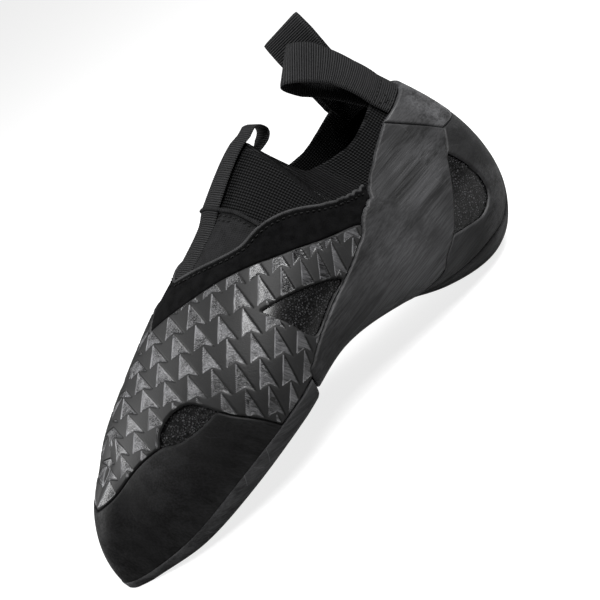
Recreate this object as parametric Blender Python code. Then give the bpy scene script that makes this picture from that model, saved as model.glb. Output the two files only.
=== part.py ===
"""A soft, downturned slip-on climbing shoe for the left foot, built piece by piece on its last.

Metres. The toe points to -X, the heel to +X, the outer side of the foot to -Y, up is +Z.
The origin lies on the floor, under the flat spot of the heel.

The last is one function: rays rise from a keel line under the foot, turn round the
feather edge of the sole and climb the side to the ridge of the instep or to the collar.
A place on it is (ring, t). The ring runs 0 at the toe, along the outer side to 1 at the
heel and back along the inner side to 2. t is -1 at the keel, 0 at the feather edge and 1
at the top. Every piece lies on the last at its own distance from it.
"""
import bmesh
import bpy
import numpy as np

# Sizes of the last
LENGTH = 0.238
BALL_WIDTH = 0.085
INSTEP_HEIGHT = 0.100
COLLAR_WIDTH = 0.032
THROAT = 0.6
HEEL_REST = 0.882
TOE_POINT = 0.0040
TOE_SPREAD = 0.08

# Thicknesses, outwards from the last's own face
UPPER = 0.0020
BOARD = 0.0022
RUBBER = 0.0015
OVERLAY = 0.0018
SUEDE = 0.0011
ELASTIC = 0.0009
SOLE = 0.0045
SOLE_LIP = 0.0020
GAP = 0.00035
SEAM = 0.0005

# Webbing
WEBBING = 0.0009
FRONT_LOOP_WIDTH = 0.0145
FRONT_LOOP_RISE = 0.0126
HEEL_LOOP_WIDTH = 0.0200
HEEL_LOOP_LENGTH = 0.0415
PATCH_LOW = 0.885

# The last at eleven places from the toe to the heel. x values are shares of LENGTH, y and
# widths of BALL_WIDTH, z and heights of INSTEP_HEIGHT. out and rise set how a side leaves
# the feather edge, over and fall how it reaches the top.
COLUMNS = ("lat_y", "med_y", "lat_z", "med_z", "keel_x", "keel_y", "keel_z", "top_x", "top_y", "top_z",
           "lat_out", "lat_rise", "lat_over", "lat_fall", "med_out", "med_rise", "med_over", "med_fall")
SECTIONS = (
    (0.090, 0.090, 0.050, 0.050, 0.145, 0.100, 0.046, 0.085, 0.120, 0.400,
     0.025, 0.200, 0.165, 0.000, 0.025, 0.200, 0.165, 0.000),
    (-0.030, 0.230, 0.050, 0.060, 0.155, 0.100, 0.046, 0.105, 0.130, 0.465,
     0.025, 0.210, 0.190, 0.000, 0.020, 0.205, 0.155, 0.000),
    (-0.230, 0.400, 0.105, 0.085, 0.185, 0.090, 0.046, 0.145, 0.140, 0.550,
     0.025, 0.230, 0.210, 0.000, 0.020, 0.250, 0.160, 0.000),
    (-0.400, 0.480, 0.205, 0.120, 0.260, 0.070, 0.110, 0.225, 0.130, 0.660,
     0.025, 0.250, 0.260, 0.000, 0.020, 0.285, 0.190, 0.000),
    (-0.505, 0.495, 0.300, 0.180, 0.380, 0.035, 0.205, 0.340, 0.095, 0.805,
     0.035, 0.260, 0.305, -0.010, 0.025, 0.310, 0.235, -0.010),
    (-0.470, 0.400, 0.380, 0.260, 0.515, 0.010, 0.270, 0.470, 0.060, 0.930,
     0.045, 0.260, 0.330, -0.010, 0.040, 0.315, 0.260, -0.010),
    (-0.430, 0.320, 0.290, 0.270, 0.640, 0.000, 0.220, 0.640, 0.025, 1.145,
     0.060, 0.265, 0.225, -0.040, 0.060, 0.310, 0.215, -0.040),
    (-0.395, 0.295, 0.195, 0.180, 0.750, 0.000, 0.087, 0.755, -0.010, 1.100,
     0.105, 0.300, 0.045, -0.300, 0.095, 0.305, 0.045, -0.300),
    (-0.340, 0.270, 0.160, 0.130, 0.840, 0.000, 0.017, 0.840, -0.010, 1.060,
     0.180, 0.315, 0.020, -0.300, 0.145, 0.320, 0.025, -0.300),
    (-0.200, 0.165, 0.130, 0.120, 0.900, 0.000, 0.017, 0.900, -0.010, 1.040,
     0.220, 0.330, 0.130, -0.300, 0.190, 0.340, 0.130, -0.300),
    (0.000, 0.000, 0.120, 0.120, 0.920, 0.000, 0.017, 0.915, -0.010, 1.040,
     0.225, 0.355, 0.210, -0.280, 0.225, 0.355, 0.210, -0.280),
)

# Seen from the side, as shares of LENGTH and INSTEP_HEIGHT: the collar's edge, and the
# smoother line near it that is t = 1 for all pieces
COLLAR = ((0.55, 1.30), (0.632, 1.22), (0.640, 1.15), (0.643, 1.06), (0.647, 0.98), (0.655, 0.935), (0.668, 0.905),
          (0.69, 0.885), (0.715, 0.87), (0.76, 0.861), (0.785, 0.87), (0.81, 0.888), (0.86, 0.932), (0.90, 0.965),
          (0.96, 1.00), (1.05, 1.02))
GUIDE = ((0.55, 1.30), (0.63, 1.20), (0.643, 1.14), (0.657, 1.04), (0.675, 0.95), (0.70, 0.908), (0.74, 0.898),
         (0.79, 0.915), (0.84, 0.94), (0.89, 0.97), (0.96, 1.00), (1.05, 1.02))

# Lines that pieces share, as (share of the way from toe to heel, t), the same on both sides
RAND_TOP = ((0.0, 0.62), (0.09, 0.61), (0.175, 0.57), (0.232, 0.50), (0.262, 0.41), (0.295, 0.355), (0.3255, 0.33))
STRAP_FRONT = ((0.3255, 0.33), (0.335, 0.25), (0.346, 0.18), (0.358, 0.10), (0.371, 0.0))
TOE_WINDOW = ((0.232, 0.50), (0.250, 0.553), (0.279, 0.552), (0.304, 0.50), (0.317, 0.42), (0.3255, 0.33))
OVERLAY_TOP = ((0.362, 1.0), (0.382, 0.92), (0.408, 0.83), (0.454, 0.70), (0.487, 0.59), (0.517, 0.485),
               (0.558, 0.385), (0.608, 0.34))
SUEDE_TOP = ((0.435, 1.0), (0.448, 0.93), (0.476, 0.79), (0.500, 0.70), (0.529, 0.65), (0.571, 0.52),
             (0.622, 0.50), (0.704, 0.722), (0.74, 0.79))
PANEL_TOP = ((0.527, 1.0), (0.528, 0.90), (0.530, 0.80), (0.529, 0.65))
SLING_FRONT = ((0.838, 0.885), (0.772, 0.825), (0.710, 0.723), (0.655, 0.55), (0.608, 0.34), (0.575, 0.265),
               (0.537, 0.19), (0.49, 0.105), (0.446, 0.045), (0.4345, 0.0), (0.4355, -0.3), (0.44, -0.7), (0.445, -1.0))
SLING_REAR = ((0.887, 0.61), (0.821, 0.50), (0.758, 0.34), (0.713, 0.18), (0.679, 0.07), (0.667, 0.0), (0.655, -0.08),
              (0.629, -0.25), (0.61, -0.6), (0.60, -1.0))
HEEL_TOP_LOW = ((0.887, 0.61), (0.93, 0.575), (0.965, 0.56), (1.0, 0.555))
HEEL_TOP_HIGH = ((0.838, 0.885), (0.87, 0.88), (0.92, 0.875), (0.96, 0.875), (1.0, 0.875))
STRIP_EDGE = ((0.611, -0.60), (0.624, -0.42), (0.68, -0.20), (0.75, -0.08), (0.82, 0.0), (0.88, 0.09),
              (0.925, 0.22), (0.950, 0.36), (0.965, 0.56))
HEEL_CENTRE = ((0.602, -1.0), (0.70, -1.0), (0.80, -1.0), (0.90, -1.0), (1.0, -0.95), (1.0, -0.35),
               (1.0, 0.05), (1.0, 0.35), (1.0, 0.555))
HEEL_WINDOW = ((0.838, 0.52), (0.838, 0.42), (0.832, 0.30), (0.817, 0.20), (0.780, 0.135), (0.742, 0.145),
               (0.700, 0.18), (0.735, 0.30), (0.775, 0.43))
OVERLAY_WINDOW = ((0.446, 0.42), (0.480, 0.345), (0.512, 0.27), (0.538, 0.205), (0.515, 0.165),
                  (0.475, 0.10), (0.462, 0.14), (0.455, 0.27))
HEEL_LOOPS = (
    dict(name="heel_pull_loop_outer", ring=0.905, lean=(-0.58, 0.29, 0.745), across=(0.82, 0.30, 0.49), opening=0.24),
    dict(name="heel_pull_loop_inner", ring=1.095, lean=(-0.16, 0.10, 0.97), across=(0.76, -0.60, 0.27), opening=0.15),
)

SIDES = ("outer", "inner")


def clear_scene():
    """Starts from an empty scene."""
    for item in list(bpy.data.objects):
        bpy.data.objects.remove(item, do_unlink=True)


def cubic(rows, place):
    """Smooth value at a place along equally spaced rows, the first and last being phantoms."""
    last = len(rows) - 3
    place = np.clip(place, 0, last - 1e-9)
    i = place.astype(int)
    f = place - i
    a, b, c, d = rows[i], rows[i + 1], rows[i + 2], rows[i + 3]
    return 0.5 * (2 * b + (c - a) * f + (2 * a - 5 * b + 4 * c - d) * f * f + (3 * b - 3 * c + d - a) * f ** 3)


class Last:
    """The foot form that every piece is made on."""

    def __init__(self):
        self.rows = {name: np.array([row[k] for row in SECTIONS]) for k, name in enumerate(COLUMNS)}
        self.unit = {"x": LENGTH, "y": BALL_WIDTH, "z": INSTEP_HEIGHT,
                     "out": BALL_WIDTH, "over": BALL_WIDTH, "rise": INSTEP_HEIGHT, "fall": INSTEP_HEIGHT}
        self.steps = np.linspace(THROAT, 2 - THROAT, 161)
        self.trims = np.array([self.crossing(ring, GUIDE) for ring in self.steps])
        self.cuts = np.array([self.crossing(ring, COLLAR) for ring in self.steps])

    def value(self, outer, inner, share, is_outer):
        """A column's value, running on round the toe and the heel into the other side."""
        a, b = self.rows[outer], self.rows[inner]
        a_full = np.concatenate([[b[1]], a, [b[-2]]])
        b_full = np.concatenate([[a[1]], b, [a[-2]]])
        place = share * (len(a) - 1)
        mixed = np.where(is_outer, cubic(a_full, place), cubic(b_full, place))
        return mixed * self.unit[outer.split("_")[1]]

    def full(self, ring, t):
        """The last's face with its sides running on above the collar."""
        ring, t = np.broadcast_arrays(np.asarray(ring, float) % 2.0, np.asarray(t, float))
        is_outer = ring <= 1
        share = np.where(is_outer, ring, 2 - ring)
        side = lambda name: self.value("lat_" + name, "med_" + name, share, is_outer)
        both = lambda name: self.value(name, name, share, is_outer)
        edge_x = LENGTH * (1 - np.cos(np.pi * share)) / 2 - TOE_POINT / (1 + (share / TOE_SPREAD) ** 2)
        edge = np.stack([edge_x, side("y"), side("z")], -1)
        keel = np.stack([both("keel_x"), both("keel_y"), both("keel_z")], -1)
        turn = np.clip((share - THROAT) / (1 - THROAT), 0, 1) * np.pi
        front, back = self.rows["top_x"][6] * LENGTH, self.rows["top_x"][10] * LENGTH
        top_x = np.where(share > THROAT, (front + back) / 2 - (back - front) / 2 * np.cos(turn), both("top_x"))
        top_y = both("top_y") + np.where(is_outer, -1, 1) * COLLAR_WIDTH / 2 * np.sin(turn)
        top = np.stack([top_x, top_y, both("top_z")], -1)
        away = edge - keel
        away[..., 2] = 0
        away /= np.linalg.norm(away, axis=-1, keepdims=True)
        up = np.array([0, 0, 1.0])
        leave = away * side("out")[..., None] + up * side("rise")[..., None]
        across = away * np.stack([1 / (1 + (share / 0.03) ** 2), np.ones_like(share), np.zeros_like(share)], -1)
        across = np.where((share < 0.5)[..., None], across / np.linalg.norm(across, axis=-1, keepdims=True), away)
        arrive = top + across * side("over")[..., None] + up * side("fall")[..., None]
        u = np.clip(t, 0, 1)[..., None]
        wall = (1 - u) ** 3 * edge + 3 * (1 - u) ** 2 * u * (edge + leave) + 3 * (1 - u) * u * u * arrive + u ** 3 * top
        drop = (edge - keel)[..., 2:] * 0.95
        inside = keel + (edge - keel) * np.array([0.6, 0.6, 0])
        under = edge - leave / np.linalg.norm(leave, axis=-1, keepdims=True) * np.maximum(drop, 0)
        under = under + (inside - edge) * np.clip(-drop / 0.002, 0, 1) * 0.35
        v = np.clip(1 + t, 0, 1)[..., None]
        bottom = (1 - v) ** 3 * keel + 3 * (1 - v) ** 2 * v * inside + 3 * (1 - v) * v * v * under + v ** 3 * edge
        return np.where((t >= 0)[..., None], wall, bottom)

    def crossing(self, ring, edge):
        """The share of a whole side at which it meets a line seen from the side."""
        steps = np.linspace(0.4, 1, 601)
        p = self.full(ring, steps)
        height = np.interp(p[:, 0] / LENGTH, [c[0] for c in edge], [c[1] for c in edge]) * INSTEP_HEIGHT
        over = p[:, 2] > height
        return steps[np.argmax(over)] if over.any() else 1.0

    def collar(self, ring):
        """The t of the collar's edge."""
        return np.interp(ring, self.steps, self.cuts / self.trims, 1, 1)

    def point(self, ring, t):
        """The last's face, cut off at the collar."""
        ring, t = np.broadcast_arrays(np.asarray(ring, float) % 2.0, np.asarray(t, float))
        return self.full(ring, np.where(t > 0, t * np.interp(ring, self.steps, self.trims, 1, 1), t))

    def normal(self, ring, t):
        """The outward direction."""
        step = 1e-3
        ring, t = np.broadcast_arrays(np.asarray(ring, float), np.clip(np.asarray(t, float), -0.985, 0.999))
        along = self.point(ring + step, t) - self.point(ring - step, t)
        upward = self.point(ring, t + step) - self.point(ring, t - step)
        n = np.cross(along, upward)
        return n / np.linalg.norm(n, axis=-1, keepdims=True)


def line(points, first=0, last=None):
    """A smooth line through the points, or the stretch of it between two of them."""
    p = np.array(points, float)
    last = len(p) - 1 if last is None else last
    rows = [np.concatenate([[2 * p[0, k] - p[1, k]], p[:, k], [2 * p[-1, k] - p[-2, k]]]) for k in (0, 1)]
    fine = np.linspace(first, last, 40 * abs(last - first) + 1)
    return np.stack([cubic(row, fine) for row in rows], -1)


def chain(way, count):
    """Evenly placed points on a line."""
    q = np.asarray(way, float)
    length = np.r_[0, np.cumsum(np.hypot(np.diff(q[:, 0]) * 3.5, np.diff(q[:, 1])))]
    want = np.linspace(0, length[-1], count)
    return np.stack([np.interp(want, length, q[:, k]) for k in (0, 1)], -1)


def joined(*parts):
    """Several stretches as one line, with corners where they meet."""
    return np.concatenate([parts[0]] + [part[1:] for part in parts[1:]])


def ring_of(share, side):
    return share if side == "outer" else 2 - share


class Sheet:
    """Faces on the last that become one solid piece of a given thickness."""

    def __init__(self, last):
        self.last = last
        self.points, self.normals, self.faces = [], [], []

    def add(self, ring, t, side, seams=(0, 0, 0, 0)):
        """Adds a grid of places. seams draws in its first row, last row, first column and last column."""
        p = self.last.point(ring, t)
        n = self.last.normal(ring, t)
        q = p.copy()
        for edge, width in zip(((0, 1, 0), (-1, -2, 0), (0, 1, 1), (-1, -2, 1)), seams):
            here, there, axis = edge
            a, b = (p[here], p[there]) if axis == 0 else (p[:, here], p[:, there])
            step = b - a
            size = np.maximum(np.linalg.norm(step, axis=-1, keepdims=True), 1e-9)
            move = step / size * np.minimum(width, size * 0.4)
            if axis == 0:
                q[here] += move
            else:
                q[:, here] += move
        start = len(self.points)
        rows, cols = ring.shape
        self.points += list(q.reshape(-1, 3))
        self.normals += list(n.reshape(-1, 3))
        for i in range(rows - 1):
            for j in range(cols - 1):
                a = start + i * cols + j
                face = (a, a + cols, a + cols + 1, a + 1)
                self.faces.append(face if side == "outer" else face[::-1])

    def solid(self, name, inner, outer, lip=None, floor=None):
        """Welds the grids and gives them thickness, from the inner to the outer distance."""
        points, normals = np.array(self.points), np.array(self.normals)
        keys, index, total, count = {}, [], [], []
        for p, n in zip(points, normals):
            key = tuple(np.floor(p / 2.3e-6 + 0.37).astype(int))
            found = keys.get(key)
            if found is None:
                found = keys[key] = len(total)
                total.append([p, n.copy()])
            else:
                total[found][1] += n
            index.append(found)
        base = np.array([item[0] for item in total])
        out = np.array([item[1] / np.linalg.norm(item[1]) for item in total])
        reach = np.array([outer] * 3 if lip is None else [lip, lip, outer])
        far = base + out * reach
        near = base + out * inner
        if floor is not None:
            far[:, 2] = np.maximum(far[:, 2], floor)
        faces = []
        for face in self.faces:
            loop = []
            for v in face:
                if index[v] not in loop:
                    loop.append(index[v])
            if len(loop) > 2:
                faces.append(tuple(loop))
        seen = {}
        for face in faces:
            for a, b in zip(face, face[1:] + face[:1]):
                seen[(a, b)] = True
        size = len(base)
        solid = [face for face in faces] + [tuple(v + size for v in face[::-1]) for face in faces]
        for (a, b) in seen:
            if (b, a) not in seen:
                solid.append((b, a, a + size, b + size))
        return make_object(name, list(far) + list(near), solid)


def make_object(name, points, faces):
    """A named object at the origin, its faces in triangles and pointing outwards."""
    mesh = bpy.data.meshes.new(name)
    shift = np.array([HEEL_REST * LENGTH, 0, 0])
    mesh.from_pydata([tuple(np.asarray(p) - shift) for p in points], [], [tuple(int(v) for v in f) for f in faces])
    bm = bmesh.new()
    bm.from_mesh(mesh)
    bmesh.ops.triangulate(bm, faces=bm.faces)
    bmesh.ops.recalc_face_normals(bm, faces=bm.faces)
    bm.to_mesh(mesh)
    bm.free()
    thing = bpy.data.objects.new(name, mesh)
    bpy.context.scene.collection.objects.link(thing)
    return thing


def grid_between(low, high, side, along, across, spread=None):
    """Places between two lines, as ring and t grids. Lines given in stretches keep their corners."""
    if isinstance(along, tuple):
        a, b = (joined(*[chain(part, count) for part, count in zip(way, along)]) for way in (low, high))
    else:
        a, b = chain(low, along), chain(high, along)
    f = np.linspace(0, 1, across)[None, :, None] if spread is None else np.array(spread)[None, :, None]
    p = a[:, None] * (1 - f) + b[:, None] * f
    return ring_of(p[..., 0], side), p[..., 1]


def band(last, name, low, high, along, across, inner, outer, seams, lip=None, floor=None):
    """A piece between two lines, on the outer side and, mirrored in its table, on the inner one."""
    sheet = Sheet(last)
    for side in SIDES:
        ring, t = grid_between(low, high, side, along, across)
        sheet.add(ring, t, side, seams)
    return sheet.solid(name, inner, outer, lip, floor)


def rays(last, name, shares, t_of, inner, outer, seams=(0, 0, 0, 0), lip=None, floor=None):
    """A piece on whole rays, with t from a function of the share and the level."""
    sheet = Sheet(last)
    for side in SIDES:
        t = np.array([t_of(s) for s in shares])
        ring = np.repeat(ring_of(np.array(shares), side)[:, None], t.shape[1], 1)
        sheet.add(ring, t, side, seams)
    return sheet.solid(name, inner, outer, lip, floor)


def window_cutter(last, name, outline, side):
    """A plug through the rubber, following an outline on one side."""
    p = chain(line(tuple(outline) + (outline[0],)), 25)[:-1]
    ring, t = ring_of(p[:, 0], side), p[:, 1]
    base, out = last.point(ring, t), last.normal(ring, t)
    near, far = base - out * 0.0035, base + out * 0.009
    count = len(p)
    faces = [tuple(range(count)), tuple(range(2 * count - 1, count - 1, -1))]
    faces += [(i, (i + 1) % count, count + (i + 1) % count, count + i) for i in range(count)]
    return make_object(name, list(near) + list(far), faces)


def subtract(target, cutters):
    """Cuts windows and removes the plugs."""
    for cutter in cutters:
        cutter.hide_render = True
        cutter.display_type = "WIRE"
        change = target.modifiers.new("window", "BOOLEAN")
        change.operation = "DIFFERENCE"
        change.solver = "EXACT"
        change.object = cutter
        bpy.context.view_layer.update()
        result = bpy.data.meshes.new_from_object(target.evaluated_get(bpy.context.evaluated_depsgraph_get()))
        target.modifiers.clear()
        target.data = result
        bpy.data.objects.remove(cutter, do_unlink=True)


def slab(name, rows, normals, thickness):
    """Webbing as a grid of places with its outward directions, rows along and columns across."""
    rows, normals = np.array(rows), np.array(normals)
    normals = normals / np.linalg.norm(normals, axis=-1, keepdims=True)
    count, cols = rows.shape[:2]
    far = (rows + normals * thickness / 2).reshape(-1, 3)
    near = (rows - normals * thickness / 2).reshape(-1, 3)
    size = count * cols
    faces = []
    for i in range(count - 1):
        for j in range(cols - 1):
            a = i * cols + j
            faces.append((a, a + 1, a + cols + 1, a + cols))
            faces.append((a + size, a + size + cols, a + size + cols + 1, a + size + 1))
    rim = [i * cols for i in range(count)] + [(count - 1) * cols + j for j in range(1, cols)]
    rim += [i * cols + cols - 1 for i in range(count - 2, -1, -1)] + list(range(cols - 2, 0, -1))
    for a, b in zip(rim, rim[1:] + rim[:1]):
        faces.append((a, b, b + size, a + size))
    return make_object(name, list(far) + list(near), faces)


def sewn_row(last, ring, t, width, lift, along_ring):
    """Five places across a webbing that lies on the last, and their outward directions."""
    if along_ring:
        pace = np.linalg.norm(last.point(ring + 0.01, t) - last.point(ring - 0.01, t)) / 0.02
        rings, ts = ring + np.linspace(-0.5, 0.5, 5) * width / pace, np.full(5, t)
    else:
        fine = np.linspace(1, 0.6, 81)
        rings, ts = [], []
        for side, half in (("outer", (1.0, 0.5)), ("inner", (0.0, 0.5, 1.0))):
            r = ring_of(ring, side)
            p = last.point(r, fine)
            run = np.r_[0, np.cumsum(np.linalg.norm(np.diff(p, axis=0), axis=1))]
            for h in half:
                rings.append(r)
                ts.append(np.interp(h * width / 2, run, fine))
        rings, ts = np.array(rings), np.array(ts)
    n = last.normal(rings, ts)
    if not along_ring:
        n[2] = (n[1] + n[3]) / np.linalg.norm(n[1] + n[3])
    return last.point(rings, ts) + n * lift, n


def unit(way):
    """A direction at length one."""
    return way / np.linalg.norm(way)


def free_rows(start, start_way, end, end_way, apex, spread, across, count):
    """The free part of a pull loop, from one sewn row over the apex to the other."""
    first, final = start[2], end[2]
    run = np.linalg.norm(apex - first) * 0.55
    halves = ((first, first + start_way * run, apex + spread, apex),
              (apex, apex - spread, final + end_way * run, final))
    centres = []
    for k, (p, q, r, w) in enumerate(halves):
        for u in np.linspace(0, 1, count + 1)[(0 if k == 0 else 1):]:
            centres.append((1 - u) ** 3 * p + 3 * (1 - u) ** 2 * u * q + 3 * (1 - u) * u * u * r + u ** 3 * w)
    centres = np.array(centres)
    tangents = np.gradient(centres, axis=0)
    total = len(centres) - 1
    width = np.linalg.norm(np.diff(start, axis=0), axis=1).sum()
    rows, normals = [], []
    for k in range(1, total):
        u = k / total
        ends = (start, 1 - u * 2) if u < 0.5 else (end, u * 2 - 1)
        side = unit(ends[0][4] - ends[0][0])
        near_end = ends[1] ** 2
        w = side * near_end + across * (1 - near_end)
        t = unit(tangents[k])
        w = unit(w - t * np.dot(w, t))
        keep = np.clip((ends[1] - 0.45) / 0.35, 0, 1)
        flat = np.outer(np.linspace(-0.5, 0.5, 5) * width, w)
        rows.append(centres[k] + (ends[0] - ends[0][2]) * keep + flat * (1 - keep))
        normals.append(np.tile(np.cross(t, w), (5, 1)))
    return rows, normals


def make_upper(last):
    """The knit and leather sock, hollow, open at the collar and under the foot."""
    levels = [-0.30, -0.14, 0.0, 0.07, 0.15, 0.24, 0.34, 0.44, 0.54, 0.64, 0.74, 0.83, 0.92, 1.0]
    shares = np.r_[np.linspace(0, 0.6, 19), 0.611, 0.622, 0.634, 0.648, 0.666, np.linspace(0.7, 1, 10)]
    sheet = Sheet(last)
    for side in SIDES:
        ring = np.repeat(ring_of(shares, side)[:, None], len(levels), 1)
        t = np.repeat(np.array(levels)[None, :], len(shares), 0)
        sheet.add(ring, t * np.where(t > 0, last.collar(ring), 1), side)
    return sheet.solid("upper", -UPPER, 0.0)


def make_insole(last):
    """The board that closes the upper from below."""
    levels = [-1.0, -0.75, -0.5, -0.34]
    return rays(last, "insole", np.linspace(0, 1, 21), lambda s: levels, -UPPER - GAP - BOARD, -UPPER - GAP)


def make_outsole(last):
    """Half sole under the toes and the ball, flat where it touches the floor."""
    levels = [-1.0, -0.75, -0.5, -0.30, -0.14, 0.0]
    shares = list(np.linspace(0, 13 / 30, 14))
    shares[-1] -= 0.0015
    return rays(last, "outsole", shares, lambda s: levels, GAP, SOLE, lip=SOLE_LIP, floor=0.0)


def make_toe_rand(last):
    """Smooth rubber cap round the toe, from the outsole up to the overlay."""
    sheet = Sheet(last)
    shares = np.linspace(0, 0.3255, 15)
    heights = line(RAND_TOP)
    for side in SIDES:
        reach = np.interp(shares, heights[:, 0], heights[:, 1])
        ring = np.repeat(ring_of(shares, side)[:, None], 7, 1)
        t = reach[:, None] * np.linspace(0.0, 1, 7)[None, :]
        sheet.add(ring, t, side, (0, 0, SEAM, SEAM / 2))
        edge = chain(line(STRAP_FRONT), 9)[:-2]
        low = np.stack([edge[:, 0], np.zeros(len(edge))], -1)
        f = np.linspace(0, 1, 7)[None, :, None]
        grid = low[:, None] * (1 - f) + edge[:, None] * f
        sheet.add(ring_of(grid[..., 0], side), grid[..., 1], side, (0, 0, SEAM, SEAM / 2))
    return sheet.solid("toe_rand", GAP, GAP + RUBBER)


def low_edge(share):
    """Where the overlay's lower edge lies on a ray."""
    fine = joined(line(RAND_TOP, 0, 3), line(TOE_WINDOW), line(STRAP_FRONT), line(SLING_FRONT, 9, 4))
    return float(np.interp(share, fine[:, 0], fine[:, 1]))


def high_edge(share):
    """Where the overlay's upper edge lies on a ray, the ridge ahead of the instep."""
    fine = line(OVERLAY_TOP)
    return float(np.interp(share, fine[:, 0], fine[:, 1]))


def make_overlay(last):
    """Patterned rubber over toe and forefoot, with its wings and a window on each side."""
    shares = np.r_[np.linspace(0, 0.232, 9), 0.239, 0.252, 0.279, 0.300, 0.314, 0.3255, 0.338, 0.350, 0.361,
                   0.371, 0.384, 0.400, 0.417, 0.4345, 0.446, 0.467, 0.49, 0.513, 0.537, 0.558, 0.580, 0.597]
    sheet = Sheet(last)
    for side in SIDES:
        low = np.array([low_edge(s) for s in shares])
        high = np.array([high_edge(s) for s in shares])
        f = np.linspace(0, 1, 9)[None, :]
        t = low[:, None] * (1 - f) + high[:, None] * f
        ring = np.repeat(ring_of(shares, side)[:, None], 9, 1)
        wings = int(np.searchsorted(shares, OVERLAY_TOP[0][0]))
        sheet.add(ring[:wings], t[:wings], side, (0, 0, SEAM / 2, 0))
        ridge = sheet.points[-1]
        start = len(sheet.points)
        sheet.add(ring[wings - 1:], t[wings - 1:], side, (0, 0, SEAM / 2, SEAM / 2))
        sheet.points[start + 8] = ridge
    thing = sheet.solid("scale_overlay", GAP, GAP + OVERLAY)
    subtract(thing, [window_cutter(last, "plug", OVERLAY_WINDOW, side) for side in SIDES])
    return thing


def make_cup(last, name, side):
    """Rubber on one side of the heel, behind the sling, with its leather window."""
    sheet = Sheet(last)
    top = joined(line(SLING_REAR, 5, 0), line(HEEL_TOP_LOW, 0, 2))
    ring, t = grid_between((line(STRIP_EDGE, 1, 2), line(STRIP_EDGE, 2)), (line(SLING_REAR, 7, 5), top), side, (4, 19), 7)
    sheet.add(ring, t, side, (SEAM,) * 4)
    thing = sheet.solid(name, GAP, GAP + RUBBER)
    subtract(thing, [window_cutter(last, "plug", HEEL_WINDOW, side)])
    return thing


def make_front_loop(last):
    """Webbing sewn along the middle of the elastic panel, looping over the tongue into the shoe."""
    lift = GAP + ELASTIC + 2 * GAP + WEBBING / 2
    outer = [sewn_row(last, s, 1.0, FRONT_LOOP_WIDTH, lift, False) for s in np.linspace(0.455, 0.59, 9)]
    inner = [sewn_row(last, s, 1.0, FRONT_LOOP_WIDTH * 0.7, -UPPER - 7 * GAP - WEBBING / 2, False)
             for s in (0.582, 0.572, 0.562)]
    way = unit(outer[-1][0][2] - outer[-2][0][2])
    out = outer[-1][1][2]
    apex = outer[-1][0][2] + way * FRONT_LOOP_RISE - out * FRONT_LOOP_RISE * 0.6
    rows, normals = free_rows(outer[-1][0], unit(way - out * 0.25), inner[0][0], unit(way - out * 0.8), apex,
                              (out * 0.9 - way * 0.1) * FRONT_LOOP_RISE * 0.43, np.array([0.12, 0.99, 0.0]), 9)
    rows = [r for r, n in outer] + rows + [r for r, n in inner]
    normals = fix_normals([n for r, n in outer], normals, [-n for r, n in inner])
    return slab("front_pull_loop", rows, normals, WEBBING)


def fix_normals(outer, free, inner):
    """Turns the free rows' directions to agree with the sewn row that they start from."""
    if np.dot(free[0][2], outer[-1][2]) < 0:
        free = [-n for n in free]
    return outer + free + inner


def make_heel_loop(last, name, ring, lean, across, opening):
    """A wide pull loop sewn outside and inside the collar; lean and opening are shares of its length."""
    outer = [sewn_row(last, ring, t, HEEL_LOOP_WIDTH, 2 * GAP + WEBBING / 2, True)
             for t in np.linspace(PATCH_LOW, 0.995, 4)]
    inner = [sewn_row(last, ring, t, HEEL_LOOP_WIDTH * 0.9, -UPPER - 3 * GAP - WEBBING / 2, True)
             for t in (0.99, 0.93, 0.87)]
    first, final = outer[-1][0][2], inner[0][0][2]
    reach = np.array(lean) * HEEL_LOOP_LENGTH
    apex = (first + final) / 2 + reach
    across = unit(np.array(across)) * np.sign(np.dot(outer[-1][0][4] - outer[-1][0][0], across))
    out = unit(np.cross(across, reach))
    out *= np.sign(np.dot(out, outer[-1][1][2]))
    climb = unit(first - outer[-2][0][2]) * 0.6 + unit(reach) * 0.4
    rows, normals = free_rows(outer[-1][0], unit(climb + out * opening * 1.6), inner[0][0],
                              unit(climb - out * opening * 1.6), apex, out * opening * 0.55 * HEEL_LOOP_LENGTH,
                              across, 9)
    rows = [r for r, n in outer] + rows + [r for r, n in inner]
    normals = fix_normals([n for r, n in outer], normals, [-n for r, n in inner])
    return slab(name, rows, normals, WEBBING)


def material(name, colour, roughness):
    """One Principled material, not metallic."""
    mat = bpy.data.materials.new(name)
    mat.use_nodes = True
    shader = mat.node_tree.nodes["Principled BSDF"]
    shader.inputs["Base Color"].default_value = (*colour, 1)
    shader.inputs["Roughness"].default_value = roughness
    shader.inputs["Metallic"].default_value = 0.0
    return mat


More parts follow.
